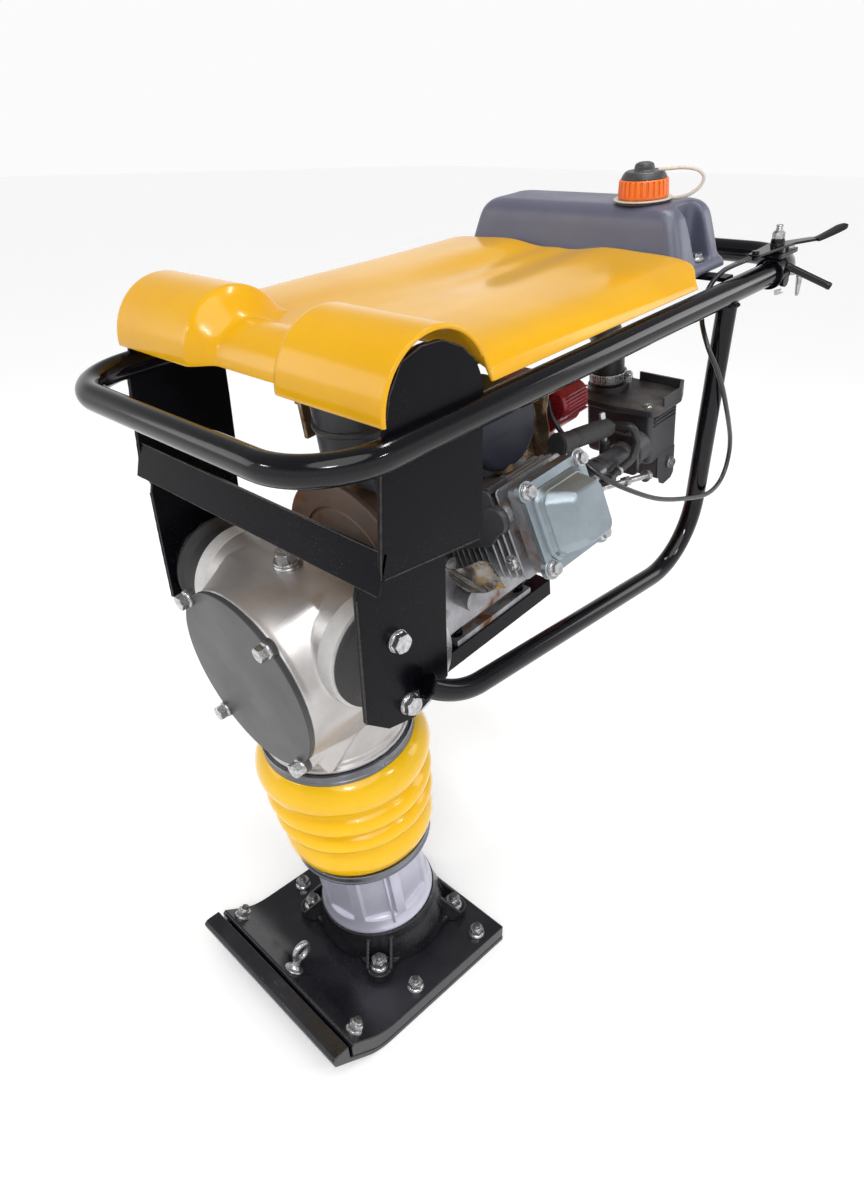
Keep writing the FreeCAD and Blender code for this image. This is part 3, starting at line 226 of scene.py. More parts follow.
mt["spring"] = mat("spring_steel", (0.30, 0.30, 0.31), (0.18, 0.17, 0.17), rough=0.35, rvar=0.1, metal=0.9, fbump=0.3, fine=500, nscale=40, dist=0.0003)
mt["shoe"] = mat("shoe_block_black", (0.006, 0.006, 0.009), (0.014, 0.014, 0.018), rough=0.24, rvar=0.12, spec=0.5, nscale=11, fbump=0.2, fine=420, cbump=0.5, cscale=14, specks=0.4, speck_col=(0.3, 0.3, 0.3), speck_scale=1300, scratch=0.4,
                 scratch_col=(0.10, 0.10, 0.11), dist=0.0006)
mt["sole"] = mat("sole_steel", (0.008, 0.008, 0.011), (0.018, 0.018, 0.022), rough=0.30, rvar=0.12, metal=0.1, spec=0.5, nscale=12, fbump=0.4, fine=300, scratch=1.0, scratch_col=(0.13, 0.13, 0.14), specks=0.4, speck_col=(0.3, 0.3, 0.3), dist=0.0006)
mt["foot"] = mat("black_casting", (0.006, 0.006, 0.008), (0.012, 0.012, 0.015), rough=0.30, rvar=0.1, spec=0.4, fbump=0.6, fine=450, cbump=0.6, cscale=70, specks=0.4, speck_col=(0.3, 0.3, 0.3), scratch=0.3, scratch_col=(0.12, 0.12, 0.12), dist=0.0006)
mt["rubber"] = mat("black_rubber", (0.016, 0.016, 0.018), (0.028, 0.027, 0.028), rough=0.62, rvar=0.1, fbump=0.9, fine=900, cbump=0.3, cscale=60, nscale=25, dist=0.0004)
mt["hose"] = mat("black_hose", (0.010, 0.010, 0.012), (0.018, 0.018, 0.020), rough=0.42, rvar=0.1, fbump=0.3, fine=600, nscale=30, specks=0.3, speck_col=(0.25, 0.25, 0.25), dist=0.0003)
mt["plastic"] = mat("black_plastic", (0.022, 0.022, 0.027), (0.034, 0.034, 0.040), rough=0.42, rvar=0.09, fbump=0.45, fine=1300, nscale=20, specks=0.5, speck_col=(0.3, 0.3, 0.3), speck_scale=1500, dust=0.25, dist=0.0003)
mt["tank"] = mat("tank_plastic", (0.098, 0.102, 0.150), (0.080, 0.083, 0.125), rough=0.36, rvar=0.07, coat=0.12, coat_rough=0.3, fbump=0.3, fine=900, cbump=0.35, cscale=12, nscale=9,
                 specks=0.3, speck_col=(0.4, 0.4, 0.45), speck_scale=1260, sss=0.03, dist=0.0006)
mt["orange"] = mat("cap_orange", (0.80, 0.17, 0.012), (0.70, 0.13, 0.01), rough=0.36, rvar=0.08, coat=0.1, fbump=0.3, fine=900, nscale=40, sss=0.05, scratch=0.2, scratch_col=(0.9, 0.5, 0.3), dist=0.0003)
mt["capblack"] = mat("cap_black", (0.022, 0.024, 0.028), (0.035, 0.037, 0.042), rough=0.38, rvar=0.08, fbump=0.3, fine=900, nscale=40, dist=0.0003, dust=0.3)
mt["tether"] = mat("tether_clear", (0.55, 0.50, 0.44), (0.48, 0.43, 0.37), rough=0.3, rvar=0.06, coat=0.2, fbump=0.2, fine=900, nscale=60, sss=0.25, dist=0.0003)
mt["red"] = mat("blower_red", (0.30, 0.010, 0.022), (0.24, 0.008, 0.018), rough=0.35, rvar=0.08, coat=0.15, fbump=0.25, fine=900, nscale=20, specks=0.4, speck_col=(0.5, 0.3, 0.3), speck_scale=1440, dist=0.0003)
mt["muffler"] = mat("muffler_charcoal", (0.018, 0.020, 0.034), (0.027, 0.029, 0.044), rough=0.42, rvar=0.08, spec=0.35, fbump=0.25, fine=800, nscale=9, specks=0.25, speck_col=(0.25, 0.25, 0.27), speck_scale=1500, dist=0.0003)
mt["shield"] = mat("shield_gold", (0.50, 0.40, 0.26), (0.32, 0.24, 0.14), rough=0.3, rvar=0.12, metal=0.8, fbump=0.4, fine=300, cbump=1.0, cscale=28, nscale=26, rust=0.7, rust_scale=30, dist=0.0012)
mt["heatsteel"] = mat("heat_shield_steel", (0.42, 0.41, 0.40), (0.30, 0.28, 0.25), rough=0.24, rvar=0.1, metal=0.9, fbump=0.1, fine=300, cbump=1.2, cscale=16, nscale=20, rust=0.1, dist=0.0015)
mt["clutch"] = mat("clutch_bronze", (0.15, 0.115, 0.10), (0.19, 0.12, 0.08), rough=0.42, rvar=0.1, metal=0.5, fbump=0.4, fine=600, nscale=15, rust=0.45, rust_scale=12, dist=0.0004)
mt["engine"] = mat("engine_aluminium", (0.33, 0.34, 0.36), (0.20, 0.20, 0.22), rough=0.42, rvar=0.12, metal=0.7, fbump=0.8, fine=500, nscale=22, rust=0.12, rust_scale=26, scratch=0.2, scratch_col=(0.6, 0.6, 0.6), dist=0.0005)
mt["crankcase"] = mat("engine_casting_dark", (0.34, 0.34, 0.36), (0.19, 0.19, 0.205), rough=0.36, rvar=0.1, metal=0.75, fbump=0.7, fine=450, cbump=0.5, cscale=45, nscale=26, rust=0.12, rust_scale=20, dist=0.0006)
mt["valve"] = mat("valve_cover_cast", (0.36, 0.41, 0.45), (0.25, 0.29, 0.32), rough=0.30, rvar=0.10, metal=0.85, fbump=0.35, fine=500, cbump=0.5, cscale=20, nscale=12, scratch=0.45, scratch_col=(0.72, 0.75, 0.78), dist=0.0006)
mt["cable"] = mat("cable_sheath", (0.010, 0.010, 0.012), (0.020, 0.020, 0.023), rough=0.3, rvar=0.08, coat=0.2, fbump=0.15, fine=800, nscale=40, specks=0.4, speck_col=(0.35, 0.35, 0.35), speck_scale=1800, dist=0.0002)
mt["white_metal"] = mat("lever_white", (0.72, 0.73, 0.75), (0.55, 0.56, 0.58), rough=0.3, rvar=0.08, metal=0.7, fbump=0.3, fine=600, nscale=80, dist=0.0003)
mt["thread"] = mat("stud_end", (0.16, 0.155, 0.15), (0.08, 0.078, 0.076), rough=0.38, rvar=0.12, metal=0.8, fbump=0.6, fine=400, nscale=160, dist=0.0004)

NODE_MAT = {
    "handle_loop": "black_paint", "side_plates": "black_plate", "cross_strap": "black_plate", "guard_tubes": "black_paint", "hood": "hood", "fuel_tank": "tank",
    "tank_straps": "black_plate", "mount_plates": "bare", "mount_bolts": "zinc", "throttle_clamp": "black_paint", "lever_pivot": "zinc", "throttle_cable": "cable",
    "fuel_cap": "orange", "throttle_lever": "black_paint", "sole_plate": "sole", "shoe_block": "shoe", "sole_bolts": "zinc", "eye_bolt": "zinc", "foot_casting": "foot",
    "foot_nuts": "zinc", "spring_cylinder": "leg", "lower_ring": "bare", "ram_springs": "spring", "gear_housing": "cast", "housing_cover": "cover", "cover_bolts": "zinc",
    "oil_plug": "zinc", "bearings": "bare", "guide_cylinder": "bare", "upper_ring": "bare", "bellows": "bellows", "rubber_mounts": "rubber", "clutch_housing": "clutch",
    "bed_plate": "black_plate", "engine_crankcase": "crankcase", "cylinder_barrel": "engine", "cylinder_head": "engine", "valve_cover": "valve", "valve_cover_bolts": "zinc",
    "muffler": "muffler", "engine_brackets": "heatsteel", "spark_plug_boot": "rubber", "breather_hose": "hose", "carburetor": "plastic", "air_box": "plastic",
    "air_box_lid": "plastic", "intake_duct": "hose", "hose_clamp": "zinc", "air_filter_canister": "plastic", "blower_housing": "red", "recoil_cover": "red",
    "crankshaft": "bare", "clutch_shoes": "bare", "flywheel": "engine", "clutch_drum": "bare", "crank_gear": "bare", "plunger": "bare", "connecting_rod": "bare",
    "recoil_handle": "plastic", "choke_lever": "white_metal",
}
for nm, ob in NODES.items():
    m_ = mt[NODE_MAT.get(nm, "plastic")]
    if not ob.data.materials:
        ob.data.materials.append(m_)
    for i in range(len(ob.material_slots)):
        ob.material_slots[i].link = 'OBJECT'
        ob.material_slots[i].material = m_

# ------------------------------------------------------------------ throttle cable
CABLE = [
    (203.0, 391.4, 906.0), (196.0, 375.8, 901.6), (187.0, 360.5, 894.3), (180.0, 350.0, 878.0), (180.0, 343.0, 860.0), (187.0, 332.0, 845.0),
    (198.0, 322.0, 833.0), (209.0, 318.0, 817.0), (217.5, 325.0, 799.0), (221.5, 339.0, 775.0), (221.5, 357.0, 748.0), (219.5, 375.0, 724.5),
    (216.5, 391.5, 704.0), (215.0, 399.5, 682.0), (217.0, 391.5, 660.5), (220.5, 370.5, 648.5), (222.5, 340.0, 645.0), (220.5, 305.0, 651.0),
    (218.0, 269.0, 658.5), (215.5, 233.0, 669.0), (212.0, 197.0, 685.0), (201.5, 164.5, 702.0),
    (184.5, 148.0, 717.0), (161.5, 149.5, 729.0), (142.0, 155.0, 741.0), (128.5, 153.5, 754.0), (122.5, 149.5, 767.5), (122.0, 146.6, 779.6),
]
cd = bpy.data.curves.new("cable_line", 'CURVE')
cd.dimensions = '3D'
sp = cd.splines.new('NURBS')
sp.points.add(len(CABLE) - 1)
for p, c in zip(sp.points, CABLE):
    p.co = (c[0] * MM, c[1] * MM, c[2] * MM, 1.0)
sp.order_u = 3
sp.use_endpoint_u = True
sp.resolution_u = 10
cd.bevel_depth = 0.00275
cd.bevel_resolution = 5
cd.use_fill_caps = True
cd.materials.append(mt["cable"])
cable = bpy.data.objects.new("throttle_cable_sheath", cd)
COL.objects.link(cable)
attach(cable, "frame")
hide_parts("throttle_cable")


# ------------------------------------------------------------------ mesh helpers (local millimetres)
def bm_new():
    return bmesh.new()


def join(*bms):
    out = bmesh.new()
    for b in bms:
        me = bpy.data.meshes.new("tmp")
        b.to_mesh(me)
        out.from_mesh(me)
        bpy.data.meshes.remove(me)
        b.free()
    return out


def tf(b, m):
    bmesh.ops.transform(b, matrix=m, verts=b.verts)
    if m.determinant() < 0:
        bmesh.ops.reverse_faces(b, faces=b.faces)
    return b


def dup(b, m=None):
    c = b.copy()
    return tf(c, m) if m is not None else c


def bevel(b, off, seg=2, ang=30):
    if off <= 0:
        return b
    b.normal_update()
    es = [e for e in b.edges if len(e.link_faces) == 2 and e.calc_face_angle(0) > R(ang)]
    if es:
        bmesh.ops.bevel(b, geom=es, offset=off, offset_type='OFFSET', segments=seg, profile=0.5, affect='EDGES', clamp_overlap=True)
    return b


def prism(pts, axis, a, b_, bev=0.0, seg=2):
    """Polygon extruded along an axis: pts are in the other two axes in order."""
    b = bmesh.new()

    def co(p, h):
        return {'x': (h, p[0], p[1]), 'y': (p[0], h, p[1]), 'z': (p[0], p[1], h)}[axis]
    lo = [b.verts.new(co(p, a)) for p in pts]
    hi = [b.verts.new(co(p, b_)) for p in pts]
    n = len(pts)
    b.faces.new(lo)
    b.faces.new(list(reversed(hi)))
    for i in range(n):
        b.faces.new((lo[i], hi[i], hi[(i + 1) % n], lo[(i + 1) % n]))
    bmesh.ops.recalc_face_normals(b, faces=b.faces)
    return bevel(b, bev, seg)


def brick(x0, y0, z0, x1, y1, z1, bev=0.5, seg=2):
    return prism([(x0, y0), (x1, y0), (x1, y1), (x0, y1)], 'z', z0, z1, bev, seg)


def place(b, p, d, up=None):
    """Moves a bmesh built round +Z at the origin to p along d."""
    z = Vector(d).normalized()
    x = Vector(up) if up else (Vector((1, 0, 0)) if abs(z.x) < 0.9 else Vector((0, 1, 0)))
    y = z.cross(x).normalized()
    x = y.cross(z)
    m = Matrix((( x.x, y.x, z.x, p[0]), (x.y, y.y, z.y, p[1]), (x.z, y.z, z.z, p[2]), (0, 0, 0, 1)))
    return tf(b, m)


def lathe(prof, segs=64, p=(0, 0, 0), d=(0, 0, 1), fn=None):
    """Revolves (r, h); r of 0 closes on the axis. fn(r, h, angle) may change the radius."""
    b = bmesh.new()
    rows = []
    for r, h in prof:
        if r <= 1e-6:
            rows.append([b.verts.new((0, 0, h))])
        else:
            row = []
            for k in range(segs):
                a = 2 * math.pi * k / segs
                q = fn(r, h, a) if fn else r
                row.append(b.verts.new((q * math.cos(a), q * math.sin(a), h)))
            rows.append(row)
    for r0, r1 in zip(rows, rows[1:]):
        for k in range(segs):
            k2 = (k + 1) % segs
            if len(r0) == 1 and len(r1) > 1:
                b.faces.new((r0[0], r1[k2], r1[k]))
            elif len(r1) == 1 and len(r0) > 1:
                b.faces.new((r0[k], r0[k2], r1[0]))
            elif len(r0) > 1:
                b.faces.new((r0[k], r0[k2], r1[k2], r1[k]))
    bmesh.ops.recalc_face_normals(b, faces=b.faces)
    return place(b, p, d)


def rprof(prof, r=1.0, n=3):
    """Rounds the corners of a lathe profile by r."""
    out = [prof[0]]
    for i in range(1, len(prof) - 1):
        a, b, c = (Vector((*prof[j], 0)) for j in (i - 1, i, i + 1))
        u, v = (a - b), (c - b)
        lu, lv = u.length, v.length
        if lu < 1e-6 or lv < 1e-6:
            out.append(prof[i]); continue
        t = min(r, lu * 0.45, lv * 0.45)
        p0, p2 = b + u * (t / lu), b + v * (t / lv)
        for k in range(n + 1):
            f = k / n
            q = p0 * (1 - f) ** 2 + b * 2 * f * (1 - f) + p2 * f * f
            out.append((q.x, q.y))
    out.append(prof[-1])
    return out


def rlathe(prof, r=1.0, segs=64, p=(0, 0, 0), d=(0, 0, 1), fn=None, n=3):
    return lathe(rprof(prof, r, n), segs, p, d, fn)


def corner_path(pts, rad, step=6.0):
    """Polyline with rounded corners for bent steel tubes."""
    P = [Vector(p) for p in pts]
    out = [P[0]]
    for i in range(1, len(P) - 1):
        a, b, c = P[i - 1], P[i], P[i + 1]
        u, v = (a - b).normalized(), (c - b).normalized()
        turn = math.pi - u.angle(v)
        if turn < 1e-3:
            out.append(b); continue
        r = rad[i - 1]
        t = r * math.tan(turn / 2)
        bis = (u + v).normalized()
        cen = b + bis * (r / math.cos(turn / 2))
        p1, p2 = b + u * t, b + v * t
        n = max(4, int(r * turn / step))
        e1 = (p1 - cen).normalized()
        ax = (p1 - cen).cross(p2 - cen).normalized()
        for k in range(n + 1):
            out.append(cen + Matrix.Rotation(turn * k / n, 3, ax) @ (e1 * r))
    out.append(P[-1])
    return out


def dense(path, step):
    out = [path[0]]
    for a, b in zip(path, path[1:]):
        n = max(1, int((b - a).length / step))
        for k in range(1, n + 1):
            out.append(a.lerp(b, k / n))
    return out


def sweep(path, r, segs=24, closed=False, rf=None, cap=True):
    b = bmesh.new()
    P = [Vector(p) for p in path]
    n = len(P)
    rows = []
    T = []
    for i in range(n):
        if closed:
            t = (P[(i + 1) % n] - P[i - 1])
        else:
            t = P[min(i + 1, n - 1)] - P[max(i - 1, 0)]
        T.append(t.normalized())
    x = T[0].orthogonal().normalized()
    for i in range(n):
        if i:
            q = T[i - 1].rotation_difference(T[i])
            x = (q @ x)
            x = (x - T[i] * x.dot(T[i])).normalized()
        y = T[i].cross(x)
        rr = rf(i / (n - 1)) if rf else r
        rows.append([b.verts.new(P[i] + (x * math.cos(2 * math.pi * k / segs) + y * math.sin(2 * math.pi * k / segs)) * rr) for k in range(segs)])
    pairs = list(zip(rows, rows[1:]))
    for r0, r1 in pairs:
        for k in range(segs):
            k2 = (k + 1) % segs
            b.faces.new((r0[k], r0[k2], r1[k2], r1[k]))
    if closed:
        r0, r1 = rows[-1], rows[0]
        best = min(range(segs), key=lambda s: (r0[0].co - r1[s].co).length)
        for k in range(segs):
            b.faces.new((r0[k], r0[(k + 1) % segs], r1[(best + k + 1) % segs], r1[(best + k) % segs]))
    elif cap:
        b.faces.new(list(reversed(rows[0])))
        b.faces.new(rows[-1])
    bmesh.ops.recalc_face_normals(b, faces=b.faces)
    return b


def loft(rings, bev=0.0, seg=2, ang=30):
    b = bmesh.new()
    rows = [[b.verts.new(p) for p in r] for r in rings]
    n = len(rings[0])
    for r0, r1 in zip(rows, rows[1:]):
        for k in range(n):
            b.faces.new((r0[k], r0[(k + 1) % n], r1[(k + 1) % n], r1[k]))
    b.faces.new(list(reversed(rows[0])))
    b.faces.new(rows[-1])
    bmesh.ops.recalc_face_normals(b, faces=b.faces)
    return bevel(b, bev, seg, ang)


def rrect(x0, y0, x1, y1, r, n=5):
    pts = []
    for cx, cy, a0 in ((x1 - r, y1 - r, 0), (x0 + r, y1 - r, 90), (x0 + r, y0 + r, 180), (x1 - r, y0 + r, 270)):
        for k in range(n + 1):
            a = R(a0 + 90 * k / n)
            pts.append((cx + r * math.cos(a), cy + r * math.sin(a)))
    return pts


def rpoly(pts, r=3.0, n=3):
    """Rounds the corners of a closed 2-D polygon."""
    out = []
    m = len(pts)
    for i in range(m):
        a, b, c = (Vector((*pts[j % m], 0)) for j in (i - 1, i, i + 1))
        u, v = a - b, c - b
        t = min(r, u.length * 0.45, v.length * 0.45)
        p0, p2 = b + u.normalized() * t, b + v.normalized() * t
        for k in range(n + 1):
            f = k / n
            q = p0 * (1 - f) ** 2 + b * 2 * f * (1 - f) + p2 * f * f
            out.append((q.x, q.y))
    return out


def put(name, b, T, m, body, rep=(), ang=38, wn=True, smooth=True):
    """bmesh in local millimetres to a finished scene object."""
    tf(b, T)
    me = bpy.data.meshes.new(name)
    b.to_mesh(me)
    b.free()
    me.materials.append(mt[m] if isinstance(m, str) else m)
    if smooth:
        me.shade_smooth()
        me.set_sharp_from_angle(angle=R(ang))
    ob = bpy.data.objects.new(name, me)
    COL.objects.link(ob)
    if wn and smooth:
        w = ob.modifiers.new("wn", 'WEIGHTED_NORMAL')
        w.keep_sharp = True
    if body:
        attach(ob, body)
    if rep:
        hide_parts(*rep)
    return ob


def cast(name, b, T, m, body, voxel=1.6, smooth_it=3, rep=(), dec=0.0, ang=45):
    """Union of rough solids with cast fillets: voxel remesh then smoothing."""
    me = bpy.data.meshes.new(name + "_t")
    b.to_mesh(me)
    b.free()
    ob = bpy.data.objects.new(name + "_t", me)
    COL.objects.link(ob)
    r = ob.modifiers.new("r", 'REMESH')
    r.mode = 'VOXEL'
    r.voxel_size = voxel
    r.use_smooth_shade = True
    if smooth_it:
        s = ob.modifiers.new("s", 'SMOOTH')
        s.factor = 0.5
        s.iterations = smooth_it
    if dec:
        d = ob.modifiers.new("d", 'DECIMATE')
        d.ratio = dec
    dg = bpy.context.evaluated_depsgraph_get()
    dg.update()
    me2 = bpy.data.meshes.new_from_object(ob.evaluated_get(dg))
    bpy.data.objects.remove(ob)
    bpy.data.meshes.remove(me)
    me2.name = name
    me2.transform(T)
    me2.materials.clear()
    me2.materials.append(mt[m] if isinstance(m, str) else m)
    me2.shade_smooth()
    o2 = bpy.data.objects.new(name, me2)
    COL.objects.link(o2)
    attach(o2, body)
    if rep:
        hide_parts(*rep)
    return o2


def hexnut(af, h, crown=1.2, hole=0.0, n=72):
    """Hexagon with chamfered crown, built round +Z from z=0."""
    b = bmesh.new()
    rows = []
    R0 = af / 2.0
    rc = R0 / math.cos(math.pi / 6)

    def hexr(a):
        q = (a + math.pi / 6) % (math.pi / 3) - math.pi / 6
        return R0 / math.cos(q)
    prof = [(1.0, 0.0), (1.0, h - crown), (0.985, h - crown * 0.45), (0.90, h), (0.0, h)]
    for f, z in prof:
        if f == 0:
            rows.append([b.verts.new((0, 0, z))])
            continue
        row = []
        for k in range(n):
            a = 2 * math.pi * k / n
            rr = min(hexr(a), rc * f * 1.0) if f < 1 else hexr(a)
            row.append(b.verts.new((rr * math.cos(a), rr * math.sin(a), z)))
        rows.append(row)
    for r0, r1 in zip(rows, rows[1:]):
        for k in range(n):
            k2 = (k + 1) % n
            if len(r1) == 1:
                b.faces.new((r0[k], r0[k2], r1[0]))
            else:
                b.faces.new((r0[k], r0[k2], r1[k2], r1[k]))
    b.faces.new(list(reversed(rows[0])))
    bmesh.ops.recalc_face_normals(b, faces=b.faces)
    return b


def threads(r, z0, z1, pitch=1.6, segs=24):
    prof = [(0, z0), (r, z0)]
    z = z0
    while z < z1 - pitch:
        prof += [(r, z + pitch * 0.1), (r - 0.55, z + pitch * 0.5), (r, z + pitch * 0.9)]
        z += pitch
    prof += [(r, z1 - 0.8), (r - 0.9, z1), (0, z1)]
    return lathe(prof, segs)


def nut_stack(p, d, r, af, wr, stud_h, nut_h=9.0, wt=2.0, turn=0.0):
    a = rlathe([(0, 0), (wr, 0), (wr, wt), (0, wt)], 0.5, 40)
    n = tf(hexnut(af, nut_h, 1.6), Matrix.Translation((0, 0, wt)))
    n2 = rlathe([(0, wt), (af * 0.62, wt), (af * 0.60, wt + 1.2), (af * 0.5, wt + 2.4), (0, wt + 2.4)], 0.4, 40)
    n3 = rlathe([(0, wt + nut_h - 0.1), (af * 0.40, wt + nut_h - 0.1), (af * 0.37, wt + nut_h + 2.2), (0, wt + nut_h + 2.3)], 0.5, 32)
    s = threads(r, wt + nut_h - 1, stud_h)
    rot = Matrix.Rotation(turn, 4, 'Z')
    body = tf(join(a, n, n2, n3), rot)
    return place(body, p, d), place(s, p, d)


def hexbolt(p, d, af, h, wr=0.0, wt=0.0, turn=0.0, flange=0.0):
    parts = []
    if wr:
        parts.append(rlathe([(0, 0), (wr, 0), (wr, wt), (0, wt)], 0.4, 40))
    if flange:
        parts.append(rlathe([(0, wt), (flange, wt), (flange * 0.96, wt + 1.2), (af * 0.5, wt + 2.4), (0, wt + 2.4)], 0.4, 40))
    parts.append(tf(hexnut(af, h, 1.2), Matrix.Translation((0, 0, wt))))
    parts.append(rlathe([(0, wt + h - 0.6), (af * 0.36, wt + h - 0.6), (af * 0.34, wt + h + 0.05), (0, wt + h + 0.05)], 0.3, 32))
    b = tf(join(*parts), Matrix.Rotation(turn, 4, 'Z'))
    return place(b, p, d)


def smoothstep(a, b, x):
    t = min(1.0, max(0.0, (x - a) / (b - a)))
    return t * t * (3 - 2 * t)


def interp(x, xs, ys):
    return float(np.interp(x, xs, ys))


def crv(x, xs, ys):
    """Smooth interpolation through points."""
    if x <= xs[0]:
        return ys[0]
    if x >= xs[-1]:
        return ys[-1]
    for i in range(len(xs) - 1):
        if x <= xs[i + 1]:
            break
    x0, x1 = xs[i], xs[i + 1]
    y0, y1 = ys[i], ys[i + 1]
    d = (y1 - y0) / (x1 - x0)
    d0 = (y1 - ys[i - 1]) / (x1 - xs[i - 1]) if i > 0 else d
    d1 = (ys[i + 2] - y0) / (xs[i + 2] - x0) if i < len(xs) - 2 else d
    t = (x - x0) / (x1 - x0)
    h = x1 - x0
    return ((2 * t**3 - 3 * t**2 + 1) * y0 + (t**3 - 2 * t**2 + t) * h * d0 + (-2 * t**3 + 3 * t**2) * y1 + (t**3 - t**2) * h * d1)


# ------------------------------------------------------------------ hood
def hood():
    b = bmesh.new()
    xs = sorted(set([round(v, 2) for v in list(np.linspace(-205, -188, 8)) + list(np.linspace(-188, -78, 24)) + list(np.linspace(-78, -40, 22)) +
                     list(np.linspace(-40, 40, 16)) + list(np.linspace(40, 78, 22)) + list(np.linspace(78, 188, 24)) + list(np.linspace(188, 205, 8))]))
    AX = [0, 60, 105, 150, 172, 184, 192, 198, 202, 204.2, 205]
    AY = [42, 43.6, 46, 46.2, 44.6, 42.2, 39, 34.5, 29.5, 24.5, 20]
    BX = [0, 25, 70, 118, 150, 170, 183, 193, 200, 204, 205]
    BY = [41, 40.6, 46, 44.5, 43.0, 40.5, 36.0, 31.0, 26.5, 22.0, 20]

    def plate(x, s):
        f = smoothstep(210, 530, s)
        a = crv(abs(x), AX, AY) * (1 - f) + crv(abs(x), BX, BY) * f
        hx = math.exp(-((abs(x) - 20) / 90.0) ** 2) * math.exp(-((s - 400) / 75.0) ** 2)
        return a - 2.4 * hx
    cols = []
    NF, NR = 26, 74
    for x in xs:
        f = smoothstep(44, 74, abs(x))
        rr = 40 + (61 - 40) * f
        sc = 125 + 4 * f
        tc = 15 + 6 * f
        endx = 541 - 26 * smoothstep(176, 205, abs(x)) ** 1.4
        col = []
        a0 = math.pi - math.asin(max(-1, min(1, (21.0 - tc) / rr)))
        for k in range(NF):
            a = a0 + (math.pi / 2 - a0) * k / NF
            col.append((x, sc + rr * math.cos(a), tc + rr * math.sin(a)))
        ed = smoothstep(193, 205, abs(x))
        for k in range(NR + 1):
            q = k / NR
            s = sc + (endx - sc) * (q ** 1.55)
            d = s - sc
            arc = tc + math.sqrt(max(0.0, rr * rr - d * d)) if d < rr else tc - (d - rr) * 4
            pl = plate(x, s)
            kk = 10.0
            h = max(kk - abs(arc - pl), 0.0) / kk
            t = max(arc, pl) + h * h * kk * 0.25
            col.append((x, s, t))
        cols.append([b.verts.new(p) for p in col])
    for c0, c1 in zip(cols, cols[1:]):
        for k in range(len(c0) - 1):
            b.faces.new((c0[k], c1[k], c1[k + 1], c0[k + 1]))
    bmesh.ops.recalc_face_normals(b, faces=b.faces)
    top = max(b.faces, key=lambda f: f.calc_center_median().z)
    top.normal_update()
    if top.normal.z < 0:
        bmesh.ops.reverse_faces(b, faces=b.faces)
    ob = put("hood_shell", b, D, "hood", "frame", ("hood",), ang=60, wn=False)
    s = ob.modifiers.new("s", 'SOLIDIFY')
    s.thickness = 0.0032
    s.offset = -1.0
    s.use_even_offset = False
    bv = ob.modifiers.new("b", 'BEVEL')
    bv.width = 0.0010
    bv.segments = 3
    bv.limit_method = 'ANGLE'
    bv.angle_limit = R(55)
    # turned lips round the two arch openings
    for sx in (-1, 1):
        pts = []
        for k in range(41):
            a = math.pi - (math.pi - 0.42) * k / 40
            pts.append((sx * 203.2, 129 + 58.6 * math.cos(a), 21 + 58.6 * math.sin(a)))
        lip = sweep(pts, 2.3, 12)
        put("hood_lip_%s" % ("r" if sx > 0 else "l"), lip, D, "hood", "frame", ())


hood()


# ------------------------------------------------------------------ bellows
def bellows():
    rolls = [(347.0, 401.8, 110.0, 93.0), (312.0, 347.0, 105.5, 90.5), (279.0, 312.0, 102.5, 88.0), (229.9, 279.0, 98.0, 86.0)]
    prof = []
    for w0, w1, rmax, rmin in rolls:
        n = 22
        for k in range(n, -1, -1):
            f = k / n
            w = w0 + (w1 - w0) * f
            base = rmin + (0 if w1 < 400 else (-2.0 * f))
            bulge = math.sin(math.pi * f) ** 0.74
            prof.append((base + (rmax - rmin) * bulge, w))
    clean = [prof[0]]
    for p in prof[1:]:
        if abs(p[1] - clean[-1][1]) > 0.01:
            clean.append(p)
    # soften the valleys
    rr = np.array([p[0] for p in clean])
    ww = np.array([p[1] for p in clean])
    for _ in range(2):
        r2 = rr.copy()
        r2[1:-1] = 0.25 * rr[:-2] + 0.5 * rr[1:-1] + 0.25 * rr[2:]
        rr = r2
    outer = list(zip(rr, ww))
    inner = [(r - 3.3, w) for r, w in reversed(outer)]
    prof = outer + inner + [outer[0]]

    def fn(r, h, a):
        v = noise.noise(Vector((math.cos(a) * 1.3, math.sin(a) * 1.3, h * 0.012)))
        return r - 0.7 + 0.7 * v
    b = lathe(prof, 144, fn=fn)
    bmesh.ops.remove_doubles(b, verts=b.verts, dist=0.001)
    ob = put("bellows_boot", b, M, "bellows", None, (), ang=70, wn=False)
    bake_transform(ob)
    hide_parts("bellows")



bellows()

# ------------------------------------------------------------------ shoe
TOE = math.hypot(68.0, 44.0)
TD = (-68.0 / TOE, 44.0 / TOE)
TN = (TD[1], -TD[0])


def toe_y(off, y):
    d = (y + 143.0 - TN[0] * off) / TD[0]
    return (y, TD[1] * d + TN[1] * off)


def toe_z(off, z):
    d = (z - TN[1] * off) / TD[1]
    return (-143.0 + TD[0] * d + TN[0] * off, z)


def arc2(p0, pc, p1, n=6):
    return [((1 - t) ** 2 * p0[0] + 2 * t * (1 - t) * pc[0] + t * t * p1[0], (1 - t) ** 2 * p0[1] + 2 * t * (1 - t) * pc[1] + t * t * p1[1]) for t in [k / n for k in range(n + 1)]]


